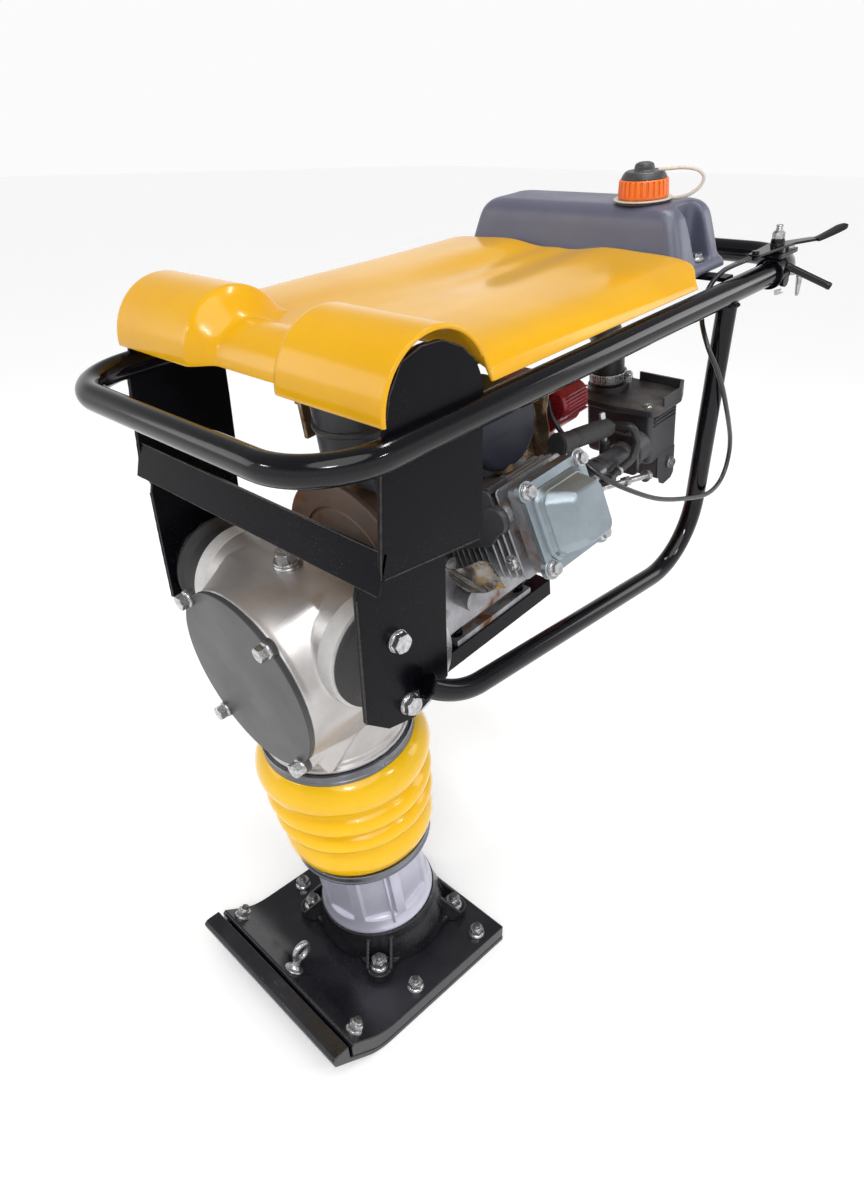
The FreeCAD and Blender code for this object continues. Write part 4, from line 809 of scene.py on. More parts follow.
def shoe():
    k0 = toe_z(0, 0.0)
    sole = [(98, 0)] + arc2((-118, 0), (-143, 0), (-160, 11.2), 7) + [(-211, 44), (-214, 54), (-213.4, 57.5), (-210, 60.2), (-205, 61.2), (-190, 61.6), toe_y(8.0, -188)]
    kn = toe_z(8.0, 8.0)
    sole += arc2((kn[0] - 14, toe_y(8.0, kn[0] - 14)[1]), kn, (kn[0] + 18, 8.0), 7) + [(98, 8.0)]
    b = prism(sole, 'x', -142.5, 142.5, 1.4, 3)
    put("sole_sheet", b, W, "sole", "shoe", ("sole_plate",), ang=50)
    kt = toe_z(27.8, 27.8)
    blk = [(97.5, 8.2)]
    blk += list(reversed(arc2((kn[0] - 14, toe_y(8.2, kn[0] - 14)[1]), (kn[0], 8.2), (kn[0] + 18, 8.2), 7)))
    blk += [toe_y(8.2, -184), (-184.5, 54.0), toe_y(27.8, -180.5)]
    blk += arc2((kt[0] - 20, toe_y(27.8, kt[0] - 20)[1]), kt, (kt[0] + 24, 27.8), 8) + [(97.5, 27.8)]
    b = prism(blk, 'x', -142.2, 142.2, 1.6, 3)
    put("laminated_block", b, W, "shoe", "shoe", ("shoe_block",), ang=50)
    nuts, studs = [], []
    seats = []
    i = 0
    for x in (-122.6, 122.6):
        for y in (-59.0, 62.0):
            seats.append(((x, y, 27.8), (0, 0, 1)))
        y, z = toe_y(27.8, -166.0)
        seats.append(((x, y, z), (0, TN[0], TN[1])))
    for p, d in seats:
        n, s = nut_stack(p, d, 5.0, 17.0, 11.0, 17, turn=0.4 + 0.7 * i)
        i += 1
        nuts.append(n)
        studs.append(s)
    heads = []
    for p, d in seats:
        V_ = Vector(p) - Vector(d) * 25.2
        heads.append(rlathe([(0, 0), (9.9, 0), (5.0, 5), (0, 5)], 0.3, 32, p=V_, d=d))
    put("shoe_nuts", join(*nuts), W, "zinc", "shoe", ("sole_bolts",))
    put("shoe_studs", join(*(studs + heads)), W, "thread", "shoe", ())
    ey, ez = toe_y(27.8, -166.0)
    N = Vector((0, TN[0], TN[1]))
    E0 = Vector((0, ey, ez))
    base = rlathe([(0, 0), (12.9, 0), (12.9, 2.0), (11.0, 3.0), (8.6, 3.4), (6.2, 7.0), (5.4, 12.0), (5.2, 16), (0, 16)], 0.8, 48, p=E0, d=N)
    pts = []
    cen = E0 + N * 27
    Yp = Vector((0, -N.z, N.y))
    for k in range(64):
        a = 2 * math.pi * k / 64
        pts.append(cen + (N * math.cos(a) * 11.6 + Yp * math.sin(a) * 10.6))
    ring_ = sweep(pts, 4.0, 20, closed=True)
    put("lifting_ring", join(base, ring_), W, "zinc", "shoe", ("eye_bolt",))


def foot():
    FY = -5.5
    fl = [(-58, FY - 80), (58, FY - 80), (80, FY - 58), (80, FY + 58), (58, FY + 80), (-58, FY + 80), (-80, FY + 58), (-80, FY - 58)]
    parts = [prism(fl, 'z', 28.0, 36.6)]
    for sx in (-1, 1):
        for sy in (-1, 1):
            parts.append(lathe([(0, 28), (18.2, 28), (18.2, 41.2), (0, 41.2)], 40, p=(sx * 72.1, FY + sy * 72.1, 0)))
            ang = math.atan2(sy, sx)
            for off in (-15.5, 15.5):
                r = prism([(62, 35), (111, 35), (111, 45), (84, 74), (62, 78)], 'y', off - 2.4, off + 2.4)
                tf(r, Matrix.Translation((0, FY, 0)) @ Matrix.Rotation(ang, 4, 'Z'))
                parts.append(r)
    col = lathe([(69.9, 30), (89.6, 26), (88.6, 50), (82, 76), (80.2, 91.7), (76.0, 91.7), (70.2, 88), (69.9, 30)], 96)
    tf(col, Matrix.Rotation(R(9.41), 4, 'X'))
    # keep the collar above the shoe
    for v in col.verts:
        v.co.z = max(v.co.z, 28.0)
    parts.append(col)
    cast("foot_flange", join(*parts), S3, "foot", "shoe", 1.3, 3, ("foot_casting",))
    nuts, studs = [], []
    i = 0
    for sx in (-1, 1):
        for sy in (-1, 1):
            p = (sx * 72.1, FY + sy * 72.1, 41.2)
            n, s = nut_stack(p, (0, 0, 1), 6.0, 19.0, 12.4, 19.2, 10.5, turn=0.3 + 0.9 * i)
            i += 1
            nuts.append(n)
            studs.append(s)
    put("foot_stud_nuts", join(*nuts), W, "zinc", "shoe", ("foot_nuts",))
    put("foot_stud_ends", join(*studs), W, "thread", "shoe", ())


def leg():
    def fn(r, h, a):
        if r < 70:
            return r
        q = (math.degrees(a) - 10 + 22.5) % 45 - 22.5
        flat = 68.2 / math.cos(R(q))
        hw = math.degrees(math.asin(21.0 / 74.6))
        m = smoothstep(113, 120, h) * (1 - smoothstep(207, 212, h))
        s_ = 1 - smoothstep(hw - 0.6, hw + 1.2, abs(q))
        f = min(r, flat)
        return r + (f - r) * m * s_
    prof = [(0, 60), (69.9, 60), (69.9, 91.6), (72, 92.2), (77.6, 92.2), (78.4, 93.4), (78.3, 96.2), (77.2, 98.5), (75.9, 103), (75.0, 108), (74.6, 112)]
    prof += [(74.6, 112 + k * 2.0) for k in range(1, 47)]
    prof += [(74.8, 207), (76.5, 209), (80, 211), (83, 212.5), (83, 215.8), (50.5, 215.9), (50.0, 226), (50, 372), (48, 379.5), (12.2, 379.8), (0, 379.8)]
    b = lathe(prof, 288, fn=fn)
    rib = brick(-1.6, -78.0, 104, 1.6, -70, 208, 0.8)
    tf(rib, Matrix.Rotation(R(67.0), 4, 'Z'))
    put("leg_tube", join(b, rib), M, "leg", "shoe", ("spring_cylinder",), ang=50, wn=False)
    g = rlathe([(70.4, 90.4), (76.6, 90.4), (77.2, 91.4), (76.4, 92.4), (70.4, 92.4)], 0.5, 96)
    put("leg_seal", g, M, "rubber", "shoe", ())
    r = rlathe([(83.3, 216.1), (89.8, 216.1), (90.4, 216.8), (90.4, 219.0), (89.6, 219.8), (89.6, 227.4), (90.4, 228.2), (89.9, 229.6), (83.3, 229.6), (83.3, 216.1)], 0.4, 128)
    sc = hexbolt((0, -90.5, 221), (0, -1, 0), 7, 4, turn=0.2)
    tf(sc, Matrix.Rotation(R(205), 4, 'Z'))
    put("bellows_band_low", join(r, sc), M, "band", "shoe", ("lower_ring",))
    r = rlathe([(84.4, 399.3), (92.3, 399.3), (92.9, 400.0), (92.9, 404.2), (92.0, 404.9), (92.0, 409.4), (92.9, 410.1), (92.9, 413.6), (92.2, 414.2), (84.4, 414.2), (84.4, 399.3)], 0.4, 128)
    put("bellows_band_top", r, M, "band", "upper", ("upper_ring",))


shoe()
foot()
leg()


# ------------------------------------------------------------------ gear housing
def housing():
    # ruled body: round at the front joint, eight-sided behind it, round again at the back
    poly = rpoly([(-75, 101.5), (-109, 62), (-111, -22), (-66, -104), (66, -104), (111, -22), (109, 62), (75, 101.5)], 7, 4)

    def ray(a):
        dx, dz = math.cos(a), math.sin(a)
        best = 0.0
        for (x0, z0), (x1, z1) in zip(poly, poly[1:] + poly[:1]):
            ex, ez = x1 - x0, z1 - z0
            q = dx * ez - dz * ex
            if abs(q) < 1e-9:
                continue
            t = (x0 * ez - z0 * ex) / q
            k = (x0 * dz - z0 * dx) / q
            if t > 0 and -1e-6 <= k <= 1 + 1e-6:
                best = max(best, t)
        return best

    NA = 180
    ang_ = [2 * math.pi * k / NA for k in range(NA)]
    rad = [ray(a) for a in ang_]

    def ring_(v, f, r):
        return [(math.cos(a) * (r + (q - r) * f), v, 543.0 + math.sin(a) * (r + (q - r) * f)) for a, q in zip(ang_, rad)]
    body = loft([ring_(-89.8, 0, 104.0), ring_(-88.8, 0, 105), ring_(-82, 0.02, 105), ring_(-38, 1, 105), ring_(42, 1, 105), ring_(50, 0.85, 103), ring_(61.5, 0.3, 96)])
    boss = rlathe([(0, -122.0), (58.5, -122.0), (61, -119.5), (61, 119.5), (58.5, 122.0), (0, 122.0)], 1.2, 96, p=(0, -5.9, 583.7), d=(1, 0, 0))
    neck = lathe([(0, 414.7), (88.4, 414.7), (88.8, 415.2), (88.8, 419.0), (88.2, 419.6), (84.6, 420.2), (84.2, 424.4), (80.8, 426.0), (80, 434), (78, 470), (76, 500), (0, 500)], 128)
    lugs = []
    for sx in (-1, 1):
        lugs.append(lathe([(0, -89.8), (11.5, -89.8), (7.5, -58), (0, -54)], 40, p=(sx * 70, 0, 543 - 78), d=(0, 1, 0)))
    # web under each lower bolt
    gus = []
    for sx in (-1, 1):
        gus.append(prism([(-87, 474), (-72, 434), (-64, 433), (-6, 470), (-6, 530), (-60, 530)], 'x', sx * 76 - 2.6, sx * 76 + 2.6))
        gus.append(prism([(-88.5, 470), (-84, 446), (-60, 436), (-30, 470)], 'x', sx * 62 - 4, sx * 62 + 4))
    b = join(body, boss, neck, *(lugs + gus))
    cast("gear_housing_body", b, M, "cast", "upper", 1.7, 2, ("gear_housing",))
    for sx, nm_ in ((-1, "l"), (1, "r")):
        f = rlathe([(50.2, 0.0), (57.6, 0.0), (57.6, 0.3), (50.2, 0.3)], 0.1, 96, p=(sx * 122.0, -5.9, 583.7), d=(sx, 0, 0))
        f2 = rlathe([(60.9, -22), (61.35, -21), (61.35, -1.5), (58.4, 0.25), (50, 0.25)], 0.5, 96, p=(sx * 122.0, -5.9, 583.7), d=(sx, 0, 0))
        f.free()
        put("boss_face_" + nm_, f2, M, "cast_grain", "upper", ())
    cv = rlathe([(0, -96.0), (105.0, -96.0), (105.8, -95.3), (105.8, -90.2), (0, -90.2)], 0.4, 160, p=(0, 0, 543.0), d=(0, 1, 0))
    ears = [rlathe([(0, -96.0), (9.2, -96.0), (9.8, -95.4), (9.8, -90.2), (0, -90.2)], 0.4, 48, p=(sx * 71, 0, 543 + sy * 79), d=(0, 1, 0)) for sx in (-1, 1) for sy in (-1, 1)]
    put("housing_cover_plate", join(cv, *ears), M, "cover", "upper", ("housing_cover",))
    bs = []
    i = 0
    for sx in (-1, 1):
        for sy in (-1, 1):
            bs.append(hexbolt((sx * 71, -96.0, 543 + sy * 79), (0, -1, 0), 15, 10.5, 9.0, 2.0, turn=0.5 * i, flange=9.5))
            i += 1
    put("housing_cover_bolts", join(*bs), M, "zinc", "upper", ("cover_bolts",))
    pl = [rlathe([(0, 643), (15.5, 643), (15.5, 646.5), (14.0, 648.2), (15, 649), (15, 651.5), (14, 652.2), (0, 652.2)], 0.5, 48, p=(0, -11, 0)),
          place(hexnut(22, 10, 1.6), (0, -11, 652), (0, 0, 1))]
    put("oil_filler_plug", join(*pl), M, "zinc", "upper", ("oil_plug",))
    rm_ = []
    for sx in (-1, 1):
        rm_.append(rlathe([(0, 0.4), (57.6, 0.4), (58, 1.0), (58, 3.6), (53.5, 8), (50.2, 13), (49.6, 21), (50.2, 29), (53.5, 34.5), (58, 38.4), (58, 41.6), (57.6, 42.1), (0, 42.1)], 1.2, 96,
                          p=(sx * 122.3, -5.9, 583.7), d=(sx, 0, 0)))
    put("shock_mounts", join(*rm_), M, "rubber", "upper", ("rubber_mounts",))


housing()


# ------------------------------------------------------------------ handle loop, guard tubes, plates
def frame_parts():
    c = 72.0
    pts = []
    x1, s1 = 203.1, 770.0
    for cu, cs, a0 in ((x1 - c, s1 - c, 0), (-x1 + c, s1 - c, 90), (-x1 + c, c, 180), (x1 - c, c, 270)):
        for k in range(19):
            a = R(a0 + 5 * k)
            pts.append(Vector((cu + c * math.cos(a), cs + c * math.sin(a), 0)))
    path = []
    n = len(pts)
    for i in range(n):
        a, b_ = pts[i], pts[(i + 1) % n]
        path.append(a)
        L_ = (b_ - a).length
        if L_ > 14:
            m = int(L_ / 14)
            for k in range(1, m):
                path.append(a.lerp(b_, k / m))
    b = sweep(path, 13.45, 40, closed=True)
    put("handle_tube", b, D, "black_paint", "frame", ("handle_loop",), ang=80, wn=False)
    g = [Vector(p) for p in corner_path([(166, -133, 588), (199, -70, 544.5), (203.1, 349.5, 555), (203.1, 355.0, 868)], [90, 86], 4.0)]
    g = [p for p in g if p.x > 174.6 or p.y > 0]
    g = [g[0] + (g[0] - g[1]).normalized() * 2.0] + g
    g = dense(g, 12)
    tubes = []
    for m_ in (None, MIR):
        t = sweep(g, 11.2, 32, cap=True)
        if m_:
            tf(t, m_)
        tubes.append(t)
    put("guard_bars", join(*tubes), W, "black_paint", "frame", ("guard_tubes",), ang=80, wn=False)
    # weld beads at the tube ends
    wb = []
    p0 = g[2]
    d0 = (g[3] - g[1]).normalized()
    for sx in (1, -1):
        for (p, d, r) in ((g[1], (g[2] - g[0]).normalized(), 11.6), (g[-1] + Vector((0, 0, -6)), Vector((0, 0.02, 1)), 11.6)):
            x = d.orthogonal().normalized()
            y = d.cross(x)
            ring_ = []
            for k in range(72):
                a = 2 * math.pi * k / 72
                rr = r + 0.45 * math.sin(a * 15)
                ring_.append(p + (x * math.cos(a) + y * math.sin(a)) * rr + d * (0.5 * math.sin(a * 9)))
            t = sweep(ring_, 2.0, 10, closed=True)
            if sx < 0:
                tf(t, MIR)
            wb.append(t)
    put("weld_beads", join(*wb), W, "black_plate", "frame", ())
    outl = [(-170, 682), (-167, 600), (-165, 548), (-137, 528), (-104, 524), (-81, 534), (-57, 551), (-58, 574), (-60, 615), (-62, 690),
            (-42, 706), (-43, 760), (-46, 849), (-55, 866), (-73, 880.5), (-95, 888.5), (-117, 887.5), (-138, 879), (-151, 856), (-154, 840), (-161, 801), (-164, 706)]
    for sx, nm_ in ((1, "r"), (-1, "l")):
        pl = prism(outl, 'x', 0.0, 5.0, 0.7, 2)
        nn = Vector((0.9, 0, 1)).normalized()
        for zc in (693.5, 708.5):
            bmesh.ops.bisect_plane(pl, geom=pl.verts[:] + pl.edges[:] + pl.faces[:], plane_co=(0, 0, zc), plane_no=nn, dist=1e-4)
        for v in pl.verts:
            f = min(1.0, max(0.0, (v.co.z + 0.9 * v.co.x - 693.5) / 15.0))
            v.co.x += 195.5 - 26.0 * (1 - f)
        if sx < 0:
            tf(pl, MIR)
        put("side_plate_" + nm_, pl, W, "black_plate", "frame", ("side_plates",) if sx > 0 else (), ang=20)
    st_ = prism([(-160.5, 730.0), (-169.5, 693.5), (-165.4, 692.5), (-156.4, 729.0)], 'x', -200.5, 200.5, 0.6, 2)
    put("front_strap", st_, W, "black_plate", "frame", ("cross_strap",), ang=30)
    # thin lighter strips along the plate and strap edges and along the upper plates' fold line at z 706.4: partly bare
    # cut steel, partly painted highlight where light catches edges and fold
    eg = []

    def edge(pts, r=0.75):
        P = dense([Vector(q) for q in pts], 6)
        t = sweep(P, r, 8, rf=lambda f: r * (1.0 + 0.35 * math.sin(f * 97) * math.sin(f * 41)))
        return t
    for sx in (-1, 1):
        for pts in ([(200.4, -164, 707.5), (200.4, -161, 801)], [(200.5, -161, 706.4), (200.5, -46, 706.4)], [(174.6, -170, 680), (174.6, -167, 600), (174.6, -165, 548)],
                    [(200.4, -154, 838), (200.4, -150.6, 856), (200.4, -138, 878.6), (200.4, -117, 887.2), (200.4, -95, 888.2), (200.4, -73, 880.2), (200.4, -55, 865.6)]):
            t = edge(pts)
            if sx < 0:
                tf(t, MIR)
            eg.append(t)
    eg.append(edge([(-200.0, -160.4, 729.8), (200.0, -160.4, 729.8)], 0.7))
    eg.append(edge([(-200.0, -169.2, 693.8), (200.0, -169.2, 693.8)], 0.5))
    put("edge_strips_painted_highlight", join(*eg), W, "edge", "frame", (), ang=70, wn=False)
    nb = []
    i = 0
    for sx in (-1, 1):
        for y, z in ((-125.0, 622.0), (-112.0, 546.0)):
            nb.append(hexbolt((sx * 174.6, y, z), (sx, 0, 0), 18, 7.6, 11.5, 2.2, turn=0.35 + 0.6 * i, flange=10.8))
            i += 1
    put("bracket_bolts", join(*nb), W, "zinc", "frame", ("mount_bolts",))


frame_parts()


# ------------------------------------------------------------------ fuel tank, cap and tether
def tank():
    def form(z, off=0.0, r=16.0):
        f = (z - 12.0) / 73.0
        u = 162.0 + (139.0 - 162.0) * f - off
        a = 548.0 + (562.0 - 548.0) * f + off
        b_ = 648.0 + (652.0 - 648.0) * f - off
        return [(x, y, z) for x, y in rrect(-u, a, u, b_, r, 6)]
    rings = [form(12.3, -3.6, 14), form(18, -3.8, 14), form(21.5, -3.0, 14), form(24.5, -0.4, 15), form(30, 0.0), form(50, 0.0), form(66, 0.2), form(73, 1.0), form(78.5, 3.4), form(82.2, 7.0), form(84.2, 12.0), form(84.9, 17.0)]
    b = loft(rings)
    me = bpy.data.meshes.new("tk")
    b.to_mesh(me)
    b.free()
    ob = bpy.data.objects.new("tk", me)
    COL.objects.link(ob)
    cutters = []
    for sx in (-1, 1):
        x0, x1 = (126, 190) if sx > 0 else (-190, -126)
        q = loft([[(x + (1.5 if sx > 0 else -1.5) * 0, y, z) for x, y in rrect(min(x0, x1) - g_ * (sx < 0) * -0 , 590 - g_, max(x0, x1), 622 + g_, 9, 5)] for z, g_ in ((24.2, 0), (70, 1.5), (96, 4.5))])
        cutters.append(q)
    cme = bpy.data.meshes.new("ck")
    cb = join(*cutters)
    cb.to_mesh(cme)
    cb.free()
    co = bpy.data.objects.new("ck", cme)
    COL.objects.link(co)
    bo = ob.modifiers.new("b", 'BOOLEAN')
    bo.operation = 'DIFFERENCE'
    bo.object = co
    bo.solver = 'EXACT'
    r = ob.modifiers.new("r", 'REMESH')
    r.mode = 'VOXEL'
    r.voxel_size = 2.0
    s = ob.modifiers.new("s", 'SMOOTH')
    s.factor = 0.5
    s.iterations = 6
    dg = bpy.context.evaluated_depsgraph_get()
    dg.update()
    me2 = bpy.data.meshes.new_from_object(ob.evaluated_get(dg))
    bpy.data.objects.remove(ob)
    bpy.data.objects.remove(co)
    me2.transform(D)
    me2.materials.clear()
    me2.materials.append(mt["tank"])
    me2.shade_smooth()
    o2 = bpy.data.objects.new("tank_moulding", me2)
    COL.objects.link(o2)
    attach(o2, "frame")
    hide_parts("fuel_tank")
    # neck collar and tether foot
    nk = rlathe([(0, 84.4), (30, 84.4), (31, 85.2), (31, 86.6), (29.5, 87.4), (24, 87.4), (23, 88.4), (18.5, 89.6), (16.9, 93), (13, 93.4), (0, 93.4)], 0.7, 72, p=(80, 598, 0))
    put("filler_collar", nk, D, "capblack", "frame", ())
    tr = rlathe([(24.6, 87.6), (32.6, 87.6), (33.4, 88.5), (32.6, 89.5), (24.6, 89.5), (24.6, 87.6)], 0.5, 72, p=(80, 598, 0))
    loop_ = [Vector(p) for p in ((110, 606, 88.6), (119, 610, 89.0), (129, 616, 92.0), (137.5, 622, 99.5), (139.5, 624, 108.5), (133, 621, 115.5), (121, 613, 118.6), (108, 604, 118.6), (98, 598, 118.4))]
    dn = []
    for i in range(len(loop_) - 1):
        p0 = loop_[max(0, i - 1)]; p1 = loop_[i]; p2 = loop_[i + 1]; p3 = loop_[min(len(loop_) - 1, i + 2)]
        for k in range(8):
            t = k / 8
            dn.append(0.5 * ((2 * p1) + (p2 - p0) * t + (2 * p0 - 5 * p1 + 4 * p2 - p3) * t * t + (3 * p1 - p0 - 3 * p2 + p3) * t ** 3))
    dn.append(loop_[-1])
    strap = sweep(dn, 1.9, 12)
    put("cap_tether", join(tr, strap), D, "tether", "frame", ())

    def rib(r, h, a):
        if 93.0 < h < 108.3 and r > 27:
            q = (a * 26 / (2 * math.pi)) % 1.0
            return r - 1.5 * (1 - smoothstep(0.10, 0.20, abs(q - 0.5)))
        return r
    prof = rprof([(17.6, 89.8), (27.6, 89.8), (28.2, 91.0), (28.4, 92.8), (28.4, 93.2), (28.3, 94.6), (28.0, 101), (27.6, 107.2), (27.2, 108.6), (26.0, 109.4), (0, 109.4)], 0.3, 2)
    capb = lathe(prof, 260, p=(0, 0, 0), fn=rib)
    tf(capb, Matrix.Translation((80, 598, 0)))
    put("cap_grip", capb, D, "orange", "fuel_cap", ("fuel_cap",), ang=45)
    base = rlathe([(17.6, 89.75), (26.5, 89.75), (26.5, 92.2), (17.6, 92.2), (17.6, 89.75)], 0.3, 64, p=(80, 598, 0))
    dome = rlathe([(0, 109.2), (25.2, 109.2), (25.4, 110.4), (23.8, 113.4), (21.4, 116.4), (19.6, 117.2), (12.6, 117.4), (11.4, 118.4), (11.0, 121.6), (9.8, 124.2), (6.2, 125.8), (0, 126.1)], 1.0, 72, p=(80, 598, 0))
    put("cap_dome", join(base, dome), D, "capblack", "fuel_cap", ())
    st = []
    for sx in (-1, 1):
        st.append(hexbolt((sx * 148, 606, 24.6), (0, 0, 1), 13, 6, 9.5, 2.0, turn=0.4, flange=8.6))
    put("tank_hold_bolts", join(*st), D, "zinc", "frame", ())
    pl = []
    for sx in (-1, 1):
        x0, x1 = (130, 191) if sx > 0 else (-191, -130)
        pl.append(brick(x0, 596.3, 6.7, x1, 615.7, 11.5, 0.8, 2))
    put("tank_tabs", join(*pl), D, "black_plate", "frame", ("tank_straps",))


tank()


# ------------------------------------------------------------------ engine
def ribbed(b):
    return b


def engine():
    # clutch housing
    ch = rlathe([(70.4, 62.3), (98.5, 62.3), (100, 63.6), (100, 69), (96, 71), (88.4, 72.6), (86.2, 76), (85.3, 92), (86.5, 97.5), (93.8, 99.4), (95, 101), (95, 110.6), (93.8, 111.8), (70.4, 111.8), (70.4, 62.3)], 0.8, 128, p=(0, 0, 605), d=(0, 1, 0))
    for v in list(ch.verts):
        if v.co.z < 500.4:
            v.co.z = 500.4
    inner = rlathe([(0, 64.4), (28, 64.4), (30, 63.6), (66, 63.6), (69, 65.2), (72, 65.2), (72, 67.4), (0, 67.4)], 0.6, 96, p=(0, 0, 605), d=(0, 1, 0))
    cb = [hexbolt((92 * math.cos(a), 98.8, 605 + 92 * math.sin(a)), (0, -1, 0), 8, 4.5, turn=0.3, flange=6) for a in (0.5, 1.25, 2.0, 2.7)]
    put("clutch_case", ch, M, "clutch", "upper", ("clutch_housing",), ang=45)
    put("clutch_face", inner, M, "clutch", "upper", (), ang=45)
    for q in cb:
        q.free()

    # valve cover: flange with ears, stepped skirt, faceted crown
    def oct_(d, a, b_, c_, r=5):
        x0, x1, z0, z1 = a[0], a[1], b_[0], b_[1]
        pts = rpoly([(x0 + c_, z0), (x1 - c_, z0), (x1, z0 + c_), (x1, z1 - c_), (x1 - c_, z1), (x0 + c_, z1), (x0, z1 - c_), (x0, z0 + c_)], r, 3)
        return [(d, 177 + y, z) for y, z in pts]
    fl = [oct_(223.3, (-46.6, 46.6), (-46.6, 46.6), 9), oct_(230.4, (-46.6, 46.6), (-46.6, 46.6), 9)]
    vb = [loft(fl, 0.9, 2, 50)]
    for sy in (-1, 1):
        for sz in (-1, 1):
            vb.append(rlathe([(0, 223.3), (10.8, 223.3), (10.8, 229.8), (10.0, 230.6), (0, 230.6)], 0.6, 40, p=(0, 177 + sy * 40, sz * 40), d=(1, 0, 0)))
    sk = [oct_(230.2, (-38, 38), (-38, 38), 8), oct_(232.0, (-37.4, 37.4), (-37.4, 37.4), 8), oct_(234.0, (-35.4, 35.4), (-35.6, 35.4), 8), oct_(238.5, (-34.0, 34.4), (-34.6, 33.6), 9)]
    vb.append(loft(sk, 0.0))
    cr = [oct_(236.0, (-33.4, 34.0), (-34.2, 33.0), 9, 4), oct_(240.0, (-31.5, 33.6), (-33.6, 31.6), 9, 4), oct_(250.5, (-20.0, 31.8), (-31.8, 26.0), 7, 4),
          oct_(257.0, (-14.0, 29.5), (-30.0, 22.5), 6, 4), oct_(258.2, (-11.5, 27.5), (-28.0, 20.5), 5, 4)]
    vb.append(loft(cr, 0.0))
    put("valve_cover_casting", join(*vb), K, "valve", "upper", ("valve_cover",), ang=24)
    vs = [hexbolt((230.6, 177 + sy * 40, sz * 40), (1, 0, 0), 11, 6, 8.5, 1.2, turn=0.4 * sy + sz, flange=8.0) for sy in (-1, 1) for sz in (-1, 1)]
    put("valve_cover_screws", join(*vs), K, "zinc", "upper", ("valve_cover_bolts",))

    # barrel and head with cast fins
    def fin(d0, t, h0, h1, y=47.5):
        return loft([[(d, 177 + a, z) for a, z in rrect(-y + g_, h0 + g_, y - g_, h1 - g_, 6, 4)] for d, g_ in ((d0, 0.9), (d0 + t * 0.3, 0), (d0 + t * 0.7, 0), (d0 + t, 0.9))])
    bar = [loft([[(d, 177 + a, z) for a, z in rrect(-36, -38, 36, 38, 9, 4)] for d in (80.6, 165.6)])]
    bar += [fin(d, 2.4, -51.3, 47.3) for d in (88, 97, 106, 115, 124, 133, 142, 151)]
    put("barrel_casting", join(*bar), K, "engine", "upper", ("cylinder_barrel",), ang=50)
    hd = [loft([[(d, 177 + a, z) for a, z in rrect(-38, -40, 38, 40, 9, 4)] for d in (166.2, 222.8)]), loft([[(d, 177 + a, z) for a, z in rrect(-45, -46, 45, 46, 8, 4)] for d in (208.2, 222.8)], 0.8, 2)]
    hd += [fin(d, 3, -49.8, 47.0, 49.8) for d in (166.2, 176, 186, 196)]
    hd.append(rlathe([(0, 214.2), (17, 214.2), (17, 238), (15, 239.8), (0, 239.8)], 0.8, 48, p=(172, 0, -6), d=(0, 1, 0)))
    # bosses on the flank facing the front
    hd.append(rlathe([(0, 126.5), (10, 126.5), (11.5, 133), (11.5, 142), (0, 142)], 1.0, 40, p=(196, 0, 22), d=(0, 1, 0)))
    hd.append(rlathe([(0, 127.5), (9, 127.5), (10.5, 133), (10.5, 142), (0, 142)], 1.0, 40, p=(188, 0, -30), d=(0, 1, 0)))
    put("head_casting", join(*hd), K, "engine", "upper", ("cylinder_head",), ang=40)
    hs = [hexbolt((196, 126.6, 22), (0, -1, 0), 11, 6, 8, 1.4, flange=8), hexbolt((188, 127.6, -30), (0, -1, 0), 9, 5, 6.5, 1.2, turn=0.3, flange=6.5)]
    put("head_front_bolts", join(*hs), K, "zinc", "upper", ())

    cw = [loft([[(d, v, z) for d, z in rpoly([(92, -2), (118, -12), (176, -8), (192, 4), (200, 30), (196, 52), (92, 52)], 8, 4)] for v in (119.5, 123.5)], 1.6, 3, 40),
          loft([[(d, v, z) for d, z in rpoly([(92, 44), (196, 44), (196, 53), (92, 53)], 2, 2)] for v in (122.5, 150)], 1.0, 2, 40),
          rlathe([(0, 116.5), (14, 116.5), (15.5, 120), (15.5, 124), (0, 124)], 1.0, 40, p=(194, 0, 20), d=(0, 1, 0))]
    put("front_cowl", join(*cw), K, "plastic", "upper", ("engine_brackets",), ang=40)

    def sheet(fn_, nu, nv, t):
        bs_ = bmesh.new()
        g0 = [[bs_.verts.new(fn_(i / nu, j / nv, 0.0)) for j in range(nv + 1)] for i in range(nu + 1)]
        g1 = [[bs_.verts.new(fn_(i / nu, j / nv, t)) for j in range(nv + 1)] for i in range(nu + 1)]
        for i in range(nu):
            for j in range(nv):
                bs_.faces.new((g0[i][j], g0[i + 1][j], g0[i + 1][j + 1], g0[i][j + 1]))
                bs_.faces.new((g1[i][j + 1], g1[i + 1][j + 1], g1[i + 1][j], g1[i][j]))
        for i in range(nu):
            bs_.faces.new((g0[i][0], g1[i][0], g1[i + 1][0], g0[i + 1][0]))
            bs_.faces.new((g0[i + 1][nv], g1[i + 1][nv], g1[i][nv], g0[i][nv]))
        for j in range(nv):
            bs_.faces.new((g0[0][j + 1], g1[0][j + 1], g1[0][j], g0[0][j]))
            bs_.faces.new((g0[nu][j], g1[nu][j], g1[nu][j + 1], g0[nu][j + 1]))
        bmesh.ops.recalc_face_normals(bs_, faces=bs_.faces)
        return bs_

    def sh1(a, b_, t):
        q = noise.noise(Vector((a * 2.6, b_ * 3.4, 1.7)))
        return (86 + 50 * a, 258 + 9.0 * q - 8 * (a - 0.5) ** 2 - t, 664 + 94 * b_ + 4 * noise.noise(Vector((a * 3, 5.0, b_))))
    put("exhaust_shield", sheet(sh1, 26, 40, 1.2), M, "shield", "upper", (), ang=60)

